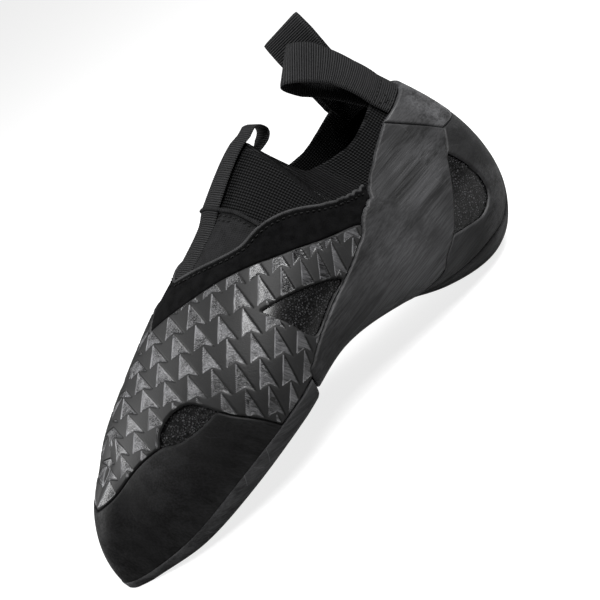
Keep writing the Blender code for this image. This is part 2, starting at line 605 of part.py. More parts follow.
def main():
    clear_scene()
    last = Last()
    half = SEAM / 2
    pieces = {
        "knit": [make_upper(last)],
        "board": [make_insole(last)],
        "sole_rubber": [make_outsole(last)],
        "rand_rubber": [
            make_toe_rand(last),
            band(last, "heel_sling", (line(SLING_REAR, 0, 5), line(SLING_REAR, 5)),
                 (line(SLING_FRONT, 0, 9), line(SLING_FRONT, 9)), (19, 8), 6, GAP, GAP + RUBBER, (half, 0, half, SEAM)),
            make_cup(last, "heel_cup_outer", "outer"),
            make_cup(last, "heel_cup_inner", "inner"),
            band(last, "heel_strip", line(HEEL_CENTRE), line(STRIP_EDGE), 24, 8, GAP, GAP + RUBBER,
                 (half, half, 0, half), floor=0.0),
            band(last, "heel_top", line(HEEL_TOP_LOW), line(HEEL_TOP_HIGH), 13, 5, GAP, GAP + RUBBER,
                 (half, 0, half, 0)),
        ],
        "scale_rubber": [make_overlay(last)],
        "suede": [band(last, "suede_band", joined(line(OVERLAY_TOP), line(SLING_FRONT, 4, 3)), line(SUEDE_TOP, 0, 7),
                       26, 4, GAP, GAP + SUEDE, (0, SEAM, SEAM, half))],
        "elastic": [band(last, "instep_panel", line(SUEDE_TOP, 0, 4), line(PANEL_TOP), 12, 6, GAP, GAP + ELASTIC,
                         (0, half, half, half))],
        "webbing": [make_front_loop(last)] + [make_heel_loop(last, **sizes) for sizes in HEEL_LOOPS],
    }
    looks = {
        "knit": ((0.018, 0.019, 0.022), 0.9),
        "board": ((0.03, 0.03, 0.032), 0.85),
        "sole_rubber": ((0.028, 0.028, 0.029), 0.6),
        "rand_rubber": ((0.024, 0.024, 0.025), 0.55),
        "scale_rubber": ((0.02, 0.02, 0.021), 0.45),
        "suede": ((0.012, 0.012, 0.013), 0.95),
        "elastic": ((0.014, 0.014, 0.016), 0.85),
        "webbing": ((0.02, 0.021, 0.024), 0.7),
    }
    for slot, things in pieces.items():
        mat = material(slot, *looks[slot])
        for thing in things:
            thing.data.materials.clear()
            thing.data.materials.append(mat)


if __name__ == "__main__":
    main()
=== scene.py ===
"""Looks of a soft, downturned slip-on climbing shoe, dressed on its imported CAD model.

Metres, in the CAD model's frame: the toe points to -X, the heel to +X, the outer side of
the foot to -Y, up is +Z. Every skin is laid on the same last as the solids: a place on it
is (ring, t), where the ring runs 0 at the toe, along the outer side to 1 at the heel and
back along the inner side to 2, and t is -1 at the keel, 0 at the feather edge of the sole
and 1 at the ridge of the instep or near the collar.
"""

import logging
import math
from dataclasses import dataclass, field
from enum import Enum
from typing import Callable, Sequence

import bpy
import numpy as np
from mathutils import Matrix, Vector, kdtree


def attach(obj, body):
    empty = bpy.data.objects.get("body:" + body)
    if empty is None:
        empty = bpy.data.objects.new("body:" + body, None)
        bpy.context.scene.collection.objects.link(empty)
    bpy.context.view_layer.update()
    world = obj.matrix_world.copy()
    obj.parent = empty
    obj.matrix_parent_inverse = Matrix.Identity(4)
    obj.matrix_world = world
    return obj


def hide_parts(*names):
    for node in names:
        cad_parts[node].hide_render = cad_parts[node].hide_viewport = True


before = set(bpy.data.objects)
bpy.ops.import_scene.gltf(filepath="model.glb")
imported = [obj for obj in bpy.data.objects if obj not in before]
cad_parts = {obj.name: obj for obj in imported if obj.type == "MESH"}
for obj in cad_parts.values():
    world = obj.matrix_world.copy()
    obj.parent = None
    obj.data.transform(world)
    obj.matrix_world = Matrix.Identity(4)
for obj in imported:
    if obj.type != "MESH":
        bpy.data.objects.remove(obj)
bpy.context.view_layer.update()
LOG = logging.getLogger("shoe")

COLUMNS = ("lat_y", "med_y", "lat_z", "med_z", "keel_x", "keel_y", "keel_z", "top_x", "top_y", "top_z",
           "lat_out", "lat_rise", "lat_over", "lat_fall", "med_out", "med_rise", "med_over", "med_fall")
SECTIONS = (
    (0.090, 0.090, 0.050, 0.050, 0.145, 0.100, 0.046, 0.085, 0.120, 0.400,
     0.025, 0.200, 0.165, 0.000, 0.025, 0.200, 0.165, 0.000),
    (-0.030, 0.230, 0.050, 0.060, 0.155, 0.100, 0.046, 0.105, 0.130, 0.465,
     0.025, 0.210, 0.190, 0.000, 0.020, 0.205, 0.155, 0.000),
    (-0.230, 0.400, 0.105, 0.085, 0.185, 0.090, 0.046, 0.145, 0.140, 0.550,
     0.025, 0.230, 0.210, 0.000, 0.020, 0.250, 0.160, 0.000),
    (-0.400, 0.480, 0.205, 0.120, 0.260, 0.070, 0.110, 0.225, 0.130, 0.660,
     0.025, 0.250, 0.260, 0.000, 0.020, 0.285, 0.190, 0.000),
    (-0.505, 0.495, 0.300, 0.180, 0.380, 0.035, 0.205, 0.340, 0.095, 0.805,
     0.035, 0.260, 0.305, -0.010, 0.025, 0.310, 0.235, -0.010),
    (-0.470, 0.400, 0.380, 0.260, 0.515, 0.010, 0.270, 0.470, 0.060, 0.930,
     0.045, 0.260, 0.330, -0.010, 0.040, 0.315, 0.260, -0.010),
    (-0.430, 0.320, 0.290, 0.270, 0.640, 0.000, 0.220, 0.640, 0.025, 1.145,
     0.060, 0.265, 0.225, -0.040, 0.060, 0.310, 0.215, -0.040),
    (-0.395, 0.295, 0.195, 0.180, 0.750, 0.000, 0.087, 0.755, -0.010, 1.100,
     0.105, 0.300, 0.045, -0.300, 0.095, 0.305, 0.045, -0.300),
    (-0.340, 0.270, 0.160, 0.130, 0.840, 0.000, 0.017, 0.840, -0.010, 1.060,
     0.180, 0.315, 0.020, -0.300, 0.145, 0.320, 0.025, -0.300),
    (-0.200, 0.165, 0.130, 0.120, 0.900, 0.000, 0.017, 0.900, -0.010, 1.040,
     0.220, 0.330, 0.130, -0.300, 0.190, 0.340, 0.130, -0.300),
    (0.000, 0.000, 0.120, 0.120, 0.920, 0.000, 0.017, 0.915, -0.010, 1.040,
     0.225, 0.355, 0.210, -0.280, 0.225, 0.355, 0.210, -0.280),
)
COLLAR = ((0.55, 1.30), (0.632, 1.22), (0.640, 1.15), (0.643, 1.06), (0.647, 0.98), (0.655, 0.935),
          (0.668, 0.905), (0.69, 0.885), (0.715, 0.87), (0.76, 0.861), (0.785, 0.87), (0.81, 0.888),
          (0.86, 0.932), (0.90, 0.965), (0.96, 1.00), (1.05, 1.02))
GUIDE = ((0.55, 1.30), (0.63, 1.20), (0.643, 1.14), (0.657, 1.04), (0.675, 0.95), (0.70, 0.908),
         (0.74, 0.898), (0.79, 0.915), (0.84, 0.94), (0.89, 0.97), (0.96, 1.00), (1.05, 1.02))
RAND_TOP = ((0.0, 0.62), (0.09, 0.61), (0.175, 0.57), (0.232, 0.50), (0.262, 0.41), (0.295, 0.355),
            (0.3255, 0.33))
STRAP_FRONT = ((0.3255, 0.33), (0.335, 0.25), (0.346, 0.18), (0.358, 0.10), (0.371, 0.0))
TOE_WINDOW = ((0.232, 0.50), (0.250, 0.553), (0.279, 0.552), (0.304, 0.50), (0.317, 0.42),
              (0.3255, 0.33))
OVERLAY_TOP = ((0.362, 1.0), (0.382, 0.92), (0.408, 0.83), (0.454, 0.70), (0.487, 0.59), (0.517, 0.485),
               (0.558, 0.385), (0.608, 0.34))
SUEDE_TOP = ((0.435, 1.0), (0.448, 0.93), (0.476, 0.79), (0.500, 0.70), (0.529, 0.65), (0.575, 0.51),
             (0.590, 0.478), (0.607, 0.463), (0.625, 0.507), (0.639, 0.568), (0.658, 0.635),
             (0.679, 0.688), (0.705, 0.722))
PANEL_TOP = ((0.527, 1.0), (0.528, 0.90), (0.530, 0.80), (0.529, 0.65))
SLING_FRONT = ((0.838, 0.885), (0.772, 0.825), (0.710, 0.723), (0.655, 0.55), (0.608, 0.34),
               (0.575, 0.265), (0.537, 0.19), (0.49, 0.105), (0.446, 0.045), (0.4345, 0.0),
               (0.4355, -0.3), (0.44, -0.7), (0.445, -1.0))
SLING_REAR = ((0.887, 0.61), (0.821, 0.50), (0.758, 0.34), (0.713, 0.18), (0.679, 0.07), (0.667, 0.0),
              (0.655, -0.08), (0.629, -0.25), (0.61, -0.6), (0.60, -1.0))
HEEL_TOP_LOW = ((0.887, 0.61), (0.93, 0.575), (0.965, 0.56), (1.0, 0.555))
HEEL_TOP_HIGH = ((0.838, 0.885), (0.87, 0.88), (0.92, 0.875), (0.96, 0.875), (1.0, 0.875))
STRIP_EDGE = ((0.611, -0.60), (0.624, -0.42), (0.68, -0.20), (0.75, -0.08), (0.82, 0.0), (0.88, 0.09),
              (0.925, 0.22), (0.950, 0.36), (0.965, 0.56))
HEEL_CENTRE = ((0.602, -1.0), (0.70, -1.0), (0.80, -1.0), (0.90, -1.0), (1.0, -0.95), (1.0, -0.35),
               (1.0, 0.05), (1.0, 0.35), (1.0, 0.555))
HEEL_WINDOW = ((0.838, 0.52), (0.838, 0.42), (0.832, 0.30), (0.817, 0.20), (0.780, 0.135),
               (0.742, 0.145), (0.700, 0.18), (0.735, 0.30), (0.775, 0.43))
OVERLAY_WINDOW = ((0.446, 0.42), (0.480, 0.345), (0.512, 0.27), (0.538, 0.205), (0.515, 0.165),
                  (0.475, 0.10), (0.462, 0.14), (0.455, 0.27))

PATTERN_LEAN = 0.47
KNIT_LEAN = 0.35
SHARE_TO_T = 3.5
SEAM_START = 0.93
SEAM_LENGTH = 0.07
ON_EDGE = 1e-5
ARROW_REACH = 6

Line = np.ndarray
Height = Callable[[dict], np.ndarray]
Socket = bpy.types.NodeSocket
Node = bpy.types.Node


class Side(Enum):
    """The two sides of the foot."""

    OUTER = "outer"
    INNER = "inner"

    def ring(self, share: np.ndarray) -> np.ndarray:
        """The ring at a share of the way from toe to heel."""
        return share if self is Side.OUTER else 2 - share


def run_along(places: np.ndarray) -> np.ndarray:
    """The way covered at each place of a chain, from 0."""
    return np.r_[0, np.cumsum(np.linalg.norm(np.diff(places, axis=0), axis=1))]


def bezier(u: np.ndarray, p: np.ndarray, q: np.ndarray, r: np.ndarray, w: np.ndarray) -> np.ndarray:
    """Places on a curve from p to w that is drawn towards q and r."""
    return (1 - u) ** 3 * p + 3 * (1 - u) ** 2 * u * q + 3 * (1 - u) * u * u * r + u ** 3 * w


def distance_to(targets: np.ndarray, places: np.ndarray) -> np.ndarray:
    """How far places lie from the nearest of some targets.

    Args:
        targets: the targets, one in a row.
        places: the places, in any grid.

    Returns:
        The distances in that grid.
    """
    tree = kdtree.KDTree(len(targets))
    for i, p in enumerate(targets):
        tree.insert(p, i)
    tree.balance()
    return np.array([tree.find(p)[2] for p in places.reshape(-1, 3)]).reshape(places.shape[:-1])


def cubic(rows: np.ndarray, place: np.ndarray) -> np.ndarray:
    """Smooth value along equally spaced rows.

    Args:
        rows: the values, the first and the last of them phantoms.
        place: where to read, 0 at the second row.

    Returns:
        The values at those places.
    """
    place = np.clip(place, 0, len(rows) - 3 - 1e-9)
    i = place.astype(int)
    f = place - i
    a, b, c, d = rows[i], rows[i + 1], rows[i + 2], rows[i + 3]
    return 0.5 * (2 * b + (c - a) * f + (2 * a - 5 * b + 4 * c - d) * f * f
                  + (3 * b - 3 * c + d - a) * f ** 3)


@dataclass
class Last:
    """The foot form that every piece of the shoe is made on."""

    length: float = 0.238
    ball_width: float = 0.085
    instep_height: float = 0.100
    collar_width: float = 0.032
    throat: float = 0.6
    heel_rest: float = 0.882
    toe_point: float = 0.0040
    toe_spread: float = 0.08
    toe_turn: float = 0.03
    turn_start: float = 0.44
    turn_length: float = 0.12
    keel_flat: float = 0.6
    under_drop: float = 0.95

    def __post_init__(self) -> None:
        """Prepares the section table and the collar."""
        self.rows = {name: np.array([row[k] for row in SECTIONS]) for k, name in enumerate(COLUMNS)}
        self.unit = {"x": self.length, "y": self.ball_width, "z": self.instep_height, "out": self.ball_width,
                     "over": self.ball_width, "rise": self.instep_height, "fall": self.instep_height}
        self.steps = np.linspace(self.throat, 2 - self.throat, 321)
        self.trims = np.array([self.crossing(ring, GUIDE) for ring in self.steps])
        self.cuts = np.array([self.crossing(ring, COLLAR) for ring in self.steps])
        self.girth_rings = np.linspace(0, 2, 201)
        self.girth_ts = np.linspace(-1, 1, 161)
        p = self.point(self.girth_rings[:, None], self.girth_ts[None, :])
        run = np.linalg.norm(np.diff(p, axis=1), axis=-1)
        self.girth = np.concatenate([np.zeros((len(p), 1)), np.cumsum(run, axis=1)], axis=1)
        self.girth -= self.girth[:, -1:]

    def value(self, outer: str, inner: str, share: np.ndarray, is_outer: np.ndarray) -> np.ndarray:
        """A column's value in metres, running on round toe and heel into the other side.

        Args:
            outer: the outer side's column.
            inner: the inner side's column.
            share: the way from toe to heel.
            is_outer: whether a place is on the outer side.

        Returns:
            The values.
        """
        a, b = self.rows[outer], self.rows[inner]
        a_full = np.concatenate([[b[1]], a, [b[-2]]])
        b_full = np.concatenate([[a[1]], b, [a[-2]]])
        place = share * (len(a) - 1)
        return np.where(is_outer, cubic(a_full, place), cubic(b_full, place)) * self.unit[outer.split("_")[1]]

    def full(self, ring: np.ndarray, t: np.ndarray) -> np.ndarray:
        """The last's face with its sides running on above the collar, toe at x = 0.

        Args:
            ring: where along the ring.
            t: the height there.

        Returns:
            The places.
        """
        ring, t = np.broadcast_arrays(np.asarray(ring, float) % 2.0, np.asarray(t, float))
        is_outer = ring <= 1
        share = np.where(is_outer, ring, 2 - ring)

        def side(name: str) -> np.ndarray:
            """A value of its own on each side."""
            return self.value("lat_" + name, "med_" + name, share, is_outer)

        def both(name: str) -> np.ndarray:
            """A value that both sides share."""
            return self.value(name, name, share, is_outer)

        edge_x = self.length * (1 - np.cos(np.pi * share)) / 2
        edge_x = edge_x - self.toe_point / (1 + (share / self.toe_spread) ** 2)
        edge = np.stack([edge_x, side("y"), side("z")], -1)
        keel = np.stack([both("keel_x"), both("keel_y"), both("keel_z")], -1)
        turn = np.clip((share - self.throat) / (1 - self.throat), 0, 1) * np.pi
        front, back = self.rows["top_x"][6] * self.length, self.rows["top_x"][10] * self.length
        round_heel = (front + back) / 2 - (back - front) / 2 * np.cos(turn)
        top_x = np.where(share > self.throat, round_heel, both("top_x"))
        top_y = both("top_y") + np.where(is_outer, -1, 1) * self.collar_width / 2 * np.sin(turn)
        top = np.stack([top_x, top_y, both("top_z")], -1)
        away = edge - keel
        away[..., 2] = 0
        away /= np.linalg.norm(away, axis=-1, keepdims=True)
        up = np.array([0, 0, 1.0])
        leave = away * side("out")[..., None] + up * side("rise")[..., None]
        late = np.clip((share - self.turn_start) / self.turn_length, 0, 1)
        turned = 1 / (1 + (share / self.toe_turn) ** 2)
        turned = turned + (1 - turned) * late * late * (3 - 2 * late)
        across = away * np.stack([turned, np.ones_like(share), np.zeros_like(share)], -1)
        across /= np.linalg.norm(across, axis=-1, keepdims=True)
        arrive = top + across * side("over")[..., None] + up * side("fall")[..., None]
        u = np.clip(t, 0, 1)[..., None]
        wall = bezier(u, edge, edge + leave, arrive, top)
        drop = (edge - keel)[..., 2:] * self.under_drop
        inside = keel + (edge - keel) * np.array([self.keel_flat, self.keel_flat, 0])
        under = edge - leave / np.linalg.norm(leave, axis=-1, keepdims=True) * np.maximum(drop, 0)
        under = under + (inside - edge) * np.clip(-drop / 0.002, 0, 1) * 0.35
        v = np.clip(1 + t, 0, 1)[..., None]
        bottom = bezier(v, keel, inside, under, edge)
        return np.where((t >= 0)[..., None], wall, bottom)

    def crossing(self, ring: float, edge: Sequence[tuple[float, float]]) -> float:
        """The share of a whole side at which it meets a line seen from the side.

        Args:
            ring: where along the ring.
            edge: the line as (length, height) shares.

        Returns:
            The share of the side.
        """
        steps = np.linspace(0.4, 1, 601)
        p = self.full(ring, steps)
        places, heights = zip(*edge)
        over = p[:, 2] > np.interp(p[:, 0] / self.length, places, heights) * self.instep_height
        return float(steps[np.argmax(over)]) if over.any() else 1.0

    def collar(self, ring: np.ndarray) -> np.ndarray:
        """The t of the collar's edge."""
        return np.interp(ring, self.steps, self.cuts / self.trims, 1, 1)

    def point(self, ring: np.ndarray, t: np.ndarray) -> np.ndarray:
        """Places on the last's face, toe at x = 0."""
        ring, t = np.broadcast_arrays(np.asarray(ring, float) % 2.0, np.asarray(t, float))
        return self.full(ring, np.where(t > 0, t * np.interp(ring, self.steps, self.trims, 1, 1), t))

    def pace(self, ring: float, t: float) -> float:
        """The metres along the face per step of the ring."""
        return float(np.linalg.norm(self.point(ring + 0.01, t) - self.point(ring - 0.01, t)) / 0.02)

    def raw_normal(self, ring: np.ndarray, t: np.ndarray) -> np.ndarray:
        """The outward direction from small steps on the face.

        Args:
            ring: where along the ring.
            t: the height there.

        Returns:
            The directions.
        """
        step = 1e-3
        ring, t = np.broadcast_arrays(np.asarray(ring, float), np.clip(np.asarray(t, float), -0.985, 0.999))
        along = self.point(ring + step, t) - self.point(ring - step, t)
        upward = self.point(ring, t + step) - self.point(ring, t - step)
        n = np.cross(along, upward)
        return n / np.linalg.norm(n, axis=-1, keepdims=True)

    def normal(self, ring: np.ndarray, t: np.ndarray) -> np.ndarray:
        """The outward direction, the same on both sides where they meet.

        Args:
            ring: where along the ring.
            t: the height there.

        Returns:
            The directions.
        """
        ring, t = np.broadcast_arrays(np.asarray(ring, float) % 2.0, np.asarray(t, float))
        n = self.raw_normal(ring, t)
        share = np.minimum(ring, 2 - ring)
        near_ridge = np.clip((t - SEAM_START) / SEAM_LENGTH, 0, 1) * (share < self.throat + 1e-6)
        blend = near_ridge + np.clip((-SEAM_START - t) / SEAM_LENGTH, 0, 1)
        other = self.raw_normal((2 - ring) % 2.0, t)
        n = n + other * (blend / (2 - np.minimum(blend, 0.999)))[..., None]
        return n / np.linalg.norm(n, axis=-1, keepdims=True)

    def below_ridge(self, ring: np.ndarray, t: np.ndarray) -> np.ndarray:
        """The way along the skin from the ridge down to a place, in metres and negative.

        Args:
            ring: where along the ring.
            t: the height there.

        Returns:
            The ways.
        """
        rings, levels = len(self.girth_rings) - 1, len(self.girth_ts) - 1
        r = np.clip(np.asarray(ring) % 2.0 / 2.0 * rings, 0, rings - 0.001)
        c = np.clip((np.asarray(t) + 1) / 2 * levels, 0, levels - 0.001)
        i, j = r.astype(int), c.astype(int)
        f, g = r - i, c - j
        table = self.girth
        return ((table[i, j] * (1 - f) + table[i + 1, j] * f) * (1 - g)
                + (table[i, j + 1] * (1 - f) + table[i + 1, j + 1] * f) * g)

    def place(self, ring: np.ndarray, t: np.ndarray, height: np.ndarray | float = 0.0) -> np.ndarray:
        """Places in the model's frame, lifted off the last.

        Args:
            ring: where along the ring.
            t: the height there.
            height: how far they are lifted.

        Returns:
            The places.
        """
        lift = np.asarray(height, float)
        p = self.point(ring, t) + self.normal(ring, t) * (lift[..., None] if lift.ndim else lift)
        return p - np.array([self.heel_rest * self.length, 0, 0])


def line(points: Sequence[tuple[float, float]], first: int = 0, last: int | None = None) -> Line:
    """A smooth line through places.

    Args:
        points: places as (share, t).
        first: the point where the stretch starts.
        last: the point where it ends.

    Returns:
        Close places along the stretch.
    """
    p = np.array(points, float)
    last = len(p) - 1 if last is None else last
    rows = [np.concatenate([[2 * p[0, k] - p[1, k]], p[:, k], [2 * p[-1, k] - p[-2, k]]]) for k in (0, 1)]
    fine = np.linspace(first, last, 40 * abs(last - first) + 1)
    return np.stack([cubic(row, fine) for row in rows], -1)


def chain(way: Line, count: int) -> Line:
    """Evenly placed points on a line.

    Args:
        way: the line.
        count: how many points.

    Returns:
        The points.
    """
    q = np.asarray(way, float)
    length = np.r_[0, np.cumsum(np.hypot(np.diff(q[:, 0]) * SHARE_TO_T, np.diff(q[:, 1])))]
    want = np.linspace(0, length[-1], count)
    return np.stack([np.interp(want, length, q[:, k]) for k in (0, 1)], -1)


def joined(*parts: Line) -> Line:
    """Several stretches as one line, with corners where they meet."""
    return np.concatenate([parts[0]] + [part[1:] for part in parts[1:]])


@dataclass
class Patch:
    """A grid of places on one side of the last."""

    share: np.ndarray
    t: np.ndarray
    side: Side

    @property
    def ring(self) -> np.ndarray:
        """The grid's rings."""
        return self.side.ring(self.share)


def between(low: Sequence[Line], high: Sequence[Line], side: Side, along: Sequence[int],
            across: int) -> Patch:
    """A patch between two lines that are given in matching stretches.

    Args:
        low: the stretches of the first line.
        high: the stretches of the second line.
        side: the side of the foot.
        along: how many points each stretch gets.
        across: how many points lie from line to line.

    Returns:
        The patch.
    """
    a, b = (joined(*[chain(part, count) for part, count in zip(way, along)]) for way in (low, high))
    f = np.linspace(0, 1, across)[None, :, None]
    p = a[:, None] * (1 - f) + b[:, None] * f
    return Patch(p[..., 0], p[..., 1], side)


def leaning(places: np.ndarray, lean: float) -> np.ndarray:
    """How far places lie along a direction that leans up from the heel's."""
    return places[..., 0] * math.cos(lean) + places[..., 2] * math.sin(lean)


def inside_outline(share: np.ndarray, t: np.ndarray, outline: Line) -> np.ndarray:
    """Which places lie inside a closed outline.

    Args:
        share: the places' shares.
        t: their heights.
        outline: the outline.

    Returns:
        True for each place inside.
    """
    x, y = share.ravel(), t.ravel()
    hit = np.zeros(x.shape, bool)
    for (ax, ay), (bx, by) in zip(outline, np.roll(outline, -1, axis=0)):
        cross = ((ay > y) != (by > y))
        if ay != by:
            hit ^= cross & (x < (bx - ax) * (y - ay) / (by - ay) + ax)
    return hit.reshape(share.shape)


def clean_selection() -> None:
    """Leaves nothing selected and no object in edit mode."""
    if bpy.context.object is not None and bpy.context.object.mode != "OBJECT":
        bpy.ops.object.mode_set(mode="OBJECT")
    bpy.ops.object.select_all(action="DESELECT")


def grid_object(name: str, points: np.ndarray, uv: np.ndarray, flip: bool, keep: np.ndarray | None = None,
                attributes: dict[str, np.ndarray] | None = None) -> bpy.types.Object:
    """A grid primitive shaped to rows and columns of points.

    Args:
        name: the object's name.
        points: rows x columns x 3 places in metres.
        uv: rows x columns x 2 pattern places in metres.
        flip: whether its faces are turned over.
        keep: which grid faces stay, rows - 1 by columns - 1.
        attributes: named values at the points.

    Returns:
        The object.
    """
    rows, cols = points.shape[:2]
    clean_selection()
    bpy.ops.mesh.primitive_grid_add(x_subdivisions=cols - 1, y_subdivisions=rows - 1, size=1, calc_uvs=True)
    thing = bpy.context.object
    thing.name = name
    mesh = thing.data
    mesh.name = name
    mesh.vertices.foreach_set("co", points.reshape(-1).astype(np.float32))
    corner = np.zeros(len(mesh.loops), np.int32)
    mesh.loops.foreach_get("vertex_index", corner)
    mesh.uv_layers[0].data.foreach_set("uv", uv.reshape(-1, 2)[corner].reshape(-1).astype(np.float32))
    for label, values in (attributes or {}).items():
        layer = mesh.attributes.new(label, "FLOAT", "POINT")
        layer.data.foreach_set("value", values.reshape(-1).astype(np.float32))
    mesh.update()
    bpy.ops.object.mode_set(mode="EDIT")
    if keep is not None and not keep.all():
        bpy.ops.mesh.select_mode(type="FACE")
        bpy.ops.mesh.select_all(action="DESELECT")
        bpy.ops.object.mode_set(mode="OBJECT")
        mesh.polygons.foreach_set("select", ~keep.reshape(-1))
        bpy.ops.object.mode_set(mode="EDIT")
        bpy.ops.mesh.delete(type="FACE")
        bpy.ops.mesh.select_mode(type="VERT")
    if flip:
        bpy.ops.mesh.select_all(action="SELECT")
        bpy.ops.mesh.flip_normals()
    bpy.ops.object.mode_set(mode="OBJECT")
    return thing


def join_up(name: str, parts: Sequence[bpy.types.Object], weld: float = 4e-6) -> bpy.types.Object:
    """Joins objects, merges the places where they meet and smooths the shading.

    Args:
        name: the joined object's name.
        parts: the objects.
        weld: the merge distance in metres.

    Returns:
        The joined object.
    """
    clean_selection()
    for part in parts:
        part.select_set(True)
    bpy.context.view_layer.objects.active = parts[0]
    if len(parts) > 1:
        bpy.ops.object.join()
    thing = bpy.context.object
    thing.name = name
    thing.data.name = name
    bpy.ops.object.mode_set(mode="EDIT")
    bpy.ops.mesh.select_all(action="SELECT")
    bpy.ops.mesh.remove_doubles(threshold=weld)
    bpy.ops.object.mode_set(mode="OBJECT")
    bpy.ops.object.shade_smooth()
    return thing


def close_ends() -> None:
    """Fills the open ends of the active piece and leaves it in edit mode."""
    bpy.ops.object.mode_set(mode="EDIT")
    bpy.ops.mesh.select_all(action="SELECT")
    bpy.ops.mesh.region_to_loop()
    bpy.ops.mesh.fill_holes(sides=0)


@dataclass
class Skin:
    """A sheet on the last, thick inside and rounded down to the upper at its edges."""

    last: Last
    name: str
    thickness: float
    gap: float = 0.00015
    rounding: float = 0.0011
    edges: list[Line] = field(default_factory=list)
    windows: list[Line] = field(default_factory=list)
    relief: Height | None = None
    floor: float | None = None
    fade: float = 0.0006
    sink: float = 0.0004

    def edge_places(self, side: Side) -> np.ndarray:
        """Close places on the piece's real edges on one side.

        Args:
            side: the side of the foot.

        Returns:
            The places, one in a row.
        """
        places = []
        for way in self.edges + [np.vstack([w, w[:1]]) for w in self.windows]:
            fine = chain(way, 600)
            places.append(self.last.place(side.ring(fine[:, 0]), fine[:, 1]))
        return np.concatenate(places)

    def cut(self, patch: Patch) -> tuple[Patch, np.ndarray]:
        """Opens the windows and draws the grid's nearest points on to their outlines.

        Args:
            patch: the grid.

        Returns:
            The changed grid and which of its faces stay.
        """
        share, t = patch.share.copy(), patch.t.copy()
        keep = np.ones((share.shape[0] - 1, share.shape[1] - 1), bool)
        for window in self.windows:
            centre_share = (share[1:, 1:] + share[:-1, :-1]) / 2
            centre_t = (t[1:, 1:] + t[:-1, :-1]) / 2
            inside = inside_outline(centre_share, centre_t, window)
            if not inside.any():
                continue
            keep &= ~inside
            near = np.zeros(share.shape, bool)
            out = np.zeros(share.shape, bool)
            for di in (0, 1):
                for dj in (0, 1):
                    rows = slice(di, share.shape[0] - 1 + di)
                    cols = slice(dj, share.shape[1] - 1 + dj)
                    near[rows, cols] |= inside
                    out[rows, cols] |= ~inside
            fine = chain(np.vstack([window, window[:1]]), 900)
            for i, j in zip(*np.nonzero(near & out)):
                gaps = ((fine[:, 0] - share[i, j]) * SHARE_TO_T) ** 2 + (fine[:, 1] - t[i, j]) ** 2
                k = int(np.argmin(gaps))
                share[i, j], t[i, j] = fine[k]
        return Patch(share, t, patch.side), keep

    def build(self, patches: Sequence[Patch]) -> bpy.types.Object:
        """Lays the patches, joins them and makes the piece.

        Args:
            patches: the grids, each on its own side.

        Returns:
            The piece's object.
        """
        parts = []
        for patch in patches:
            edges = self.edge_places(patch.side)
            patch, keep = self.cut(patch)
            base = self.last.place(patch.ring, patch.t)
            normal = self.last.normal(patch.ring, patch.t)
            reach = distance_to(edges, base)
            x = np.clip(reach / self.rounding, 0, 1)
            profile = np.sqrt(1 - (1 - x) ** 2)
            place = {"base": base, "edge": reach, "side": patch.side,
                     "below": self.last.below_ridge(patch.ring, patch.t)}
            lift = self.gap + self.thickness * profile
            if self.relief is not None:
                lift = lift + self.relief(place) * np.clip(reach / self.fade, 0, 1)
            lift = np.where(reach < ON_EDGE, -self.sink, lift)
            co = base + normal * lift[..., None]
            if self.floor is not None:
                co[..., 2] = np.maximum(co[..., 2], self.floor)
            uv = np.stack([leaning(base, PATTERN_LEAN), place["below"]], -1)
            flip = not self.faces_out(co, normal)
            parts.append(grid_object(self.name, co, uv, flip, keep, {"edge": reach}))
        return join_up(self.name, parts)

    @staticmethod
    def faces_out(co: np.ndarray, normal: np.ndarray) -> bool:
        """Whether the grid primitive's faces already look along the normals.

        Args:
            co: the grid's places.
            normal: the outward directions.

        Returns:
            True if they do.
        """
        i, j = co.shape[0] // 2, co.shape[1] // 2
        face = np.cross(co[i, j + 1] - co[i, j], co[i + 1, j] - co[i, j])
        return bool(np.dot(face, normal[i, j]) > 0)


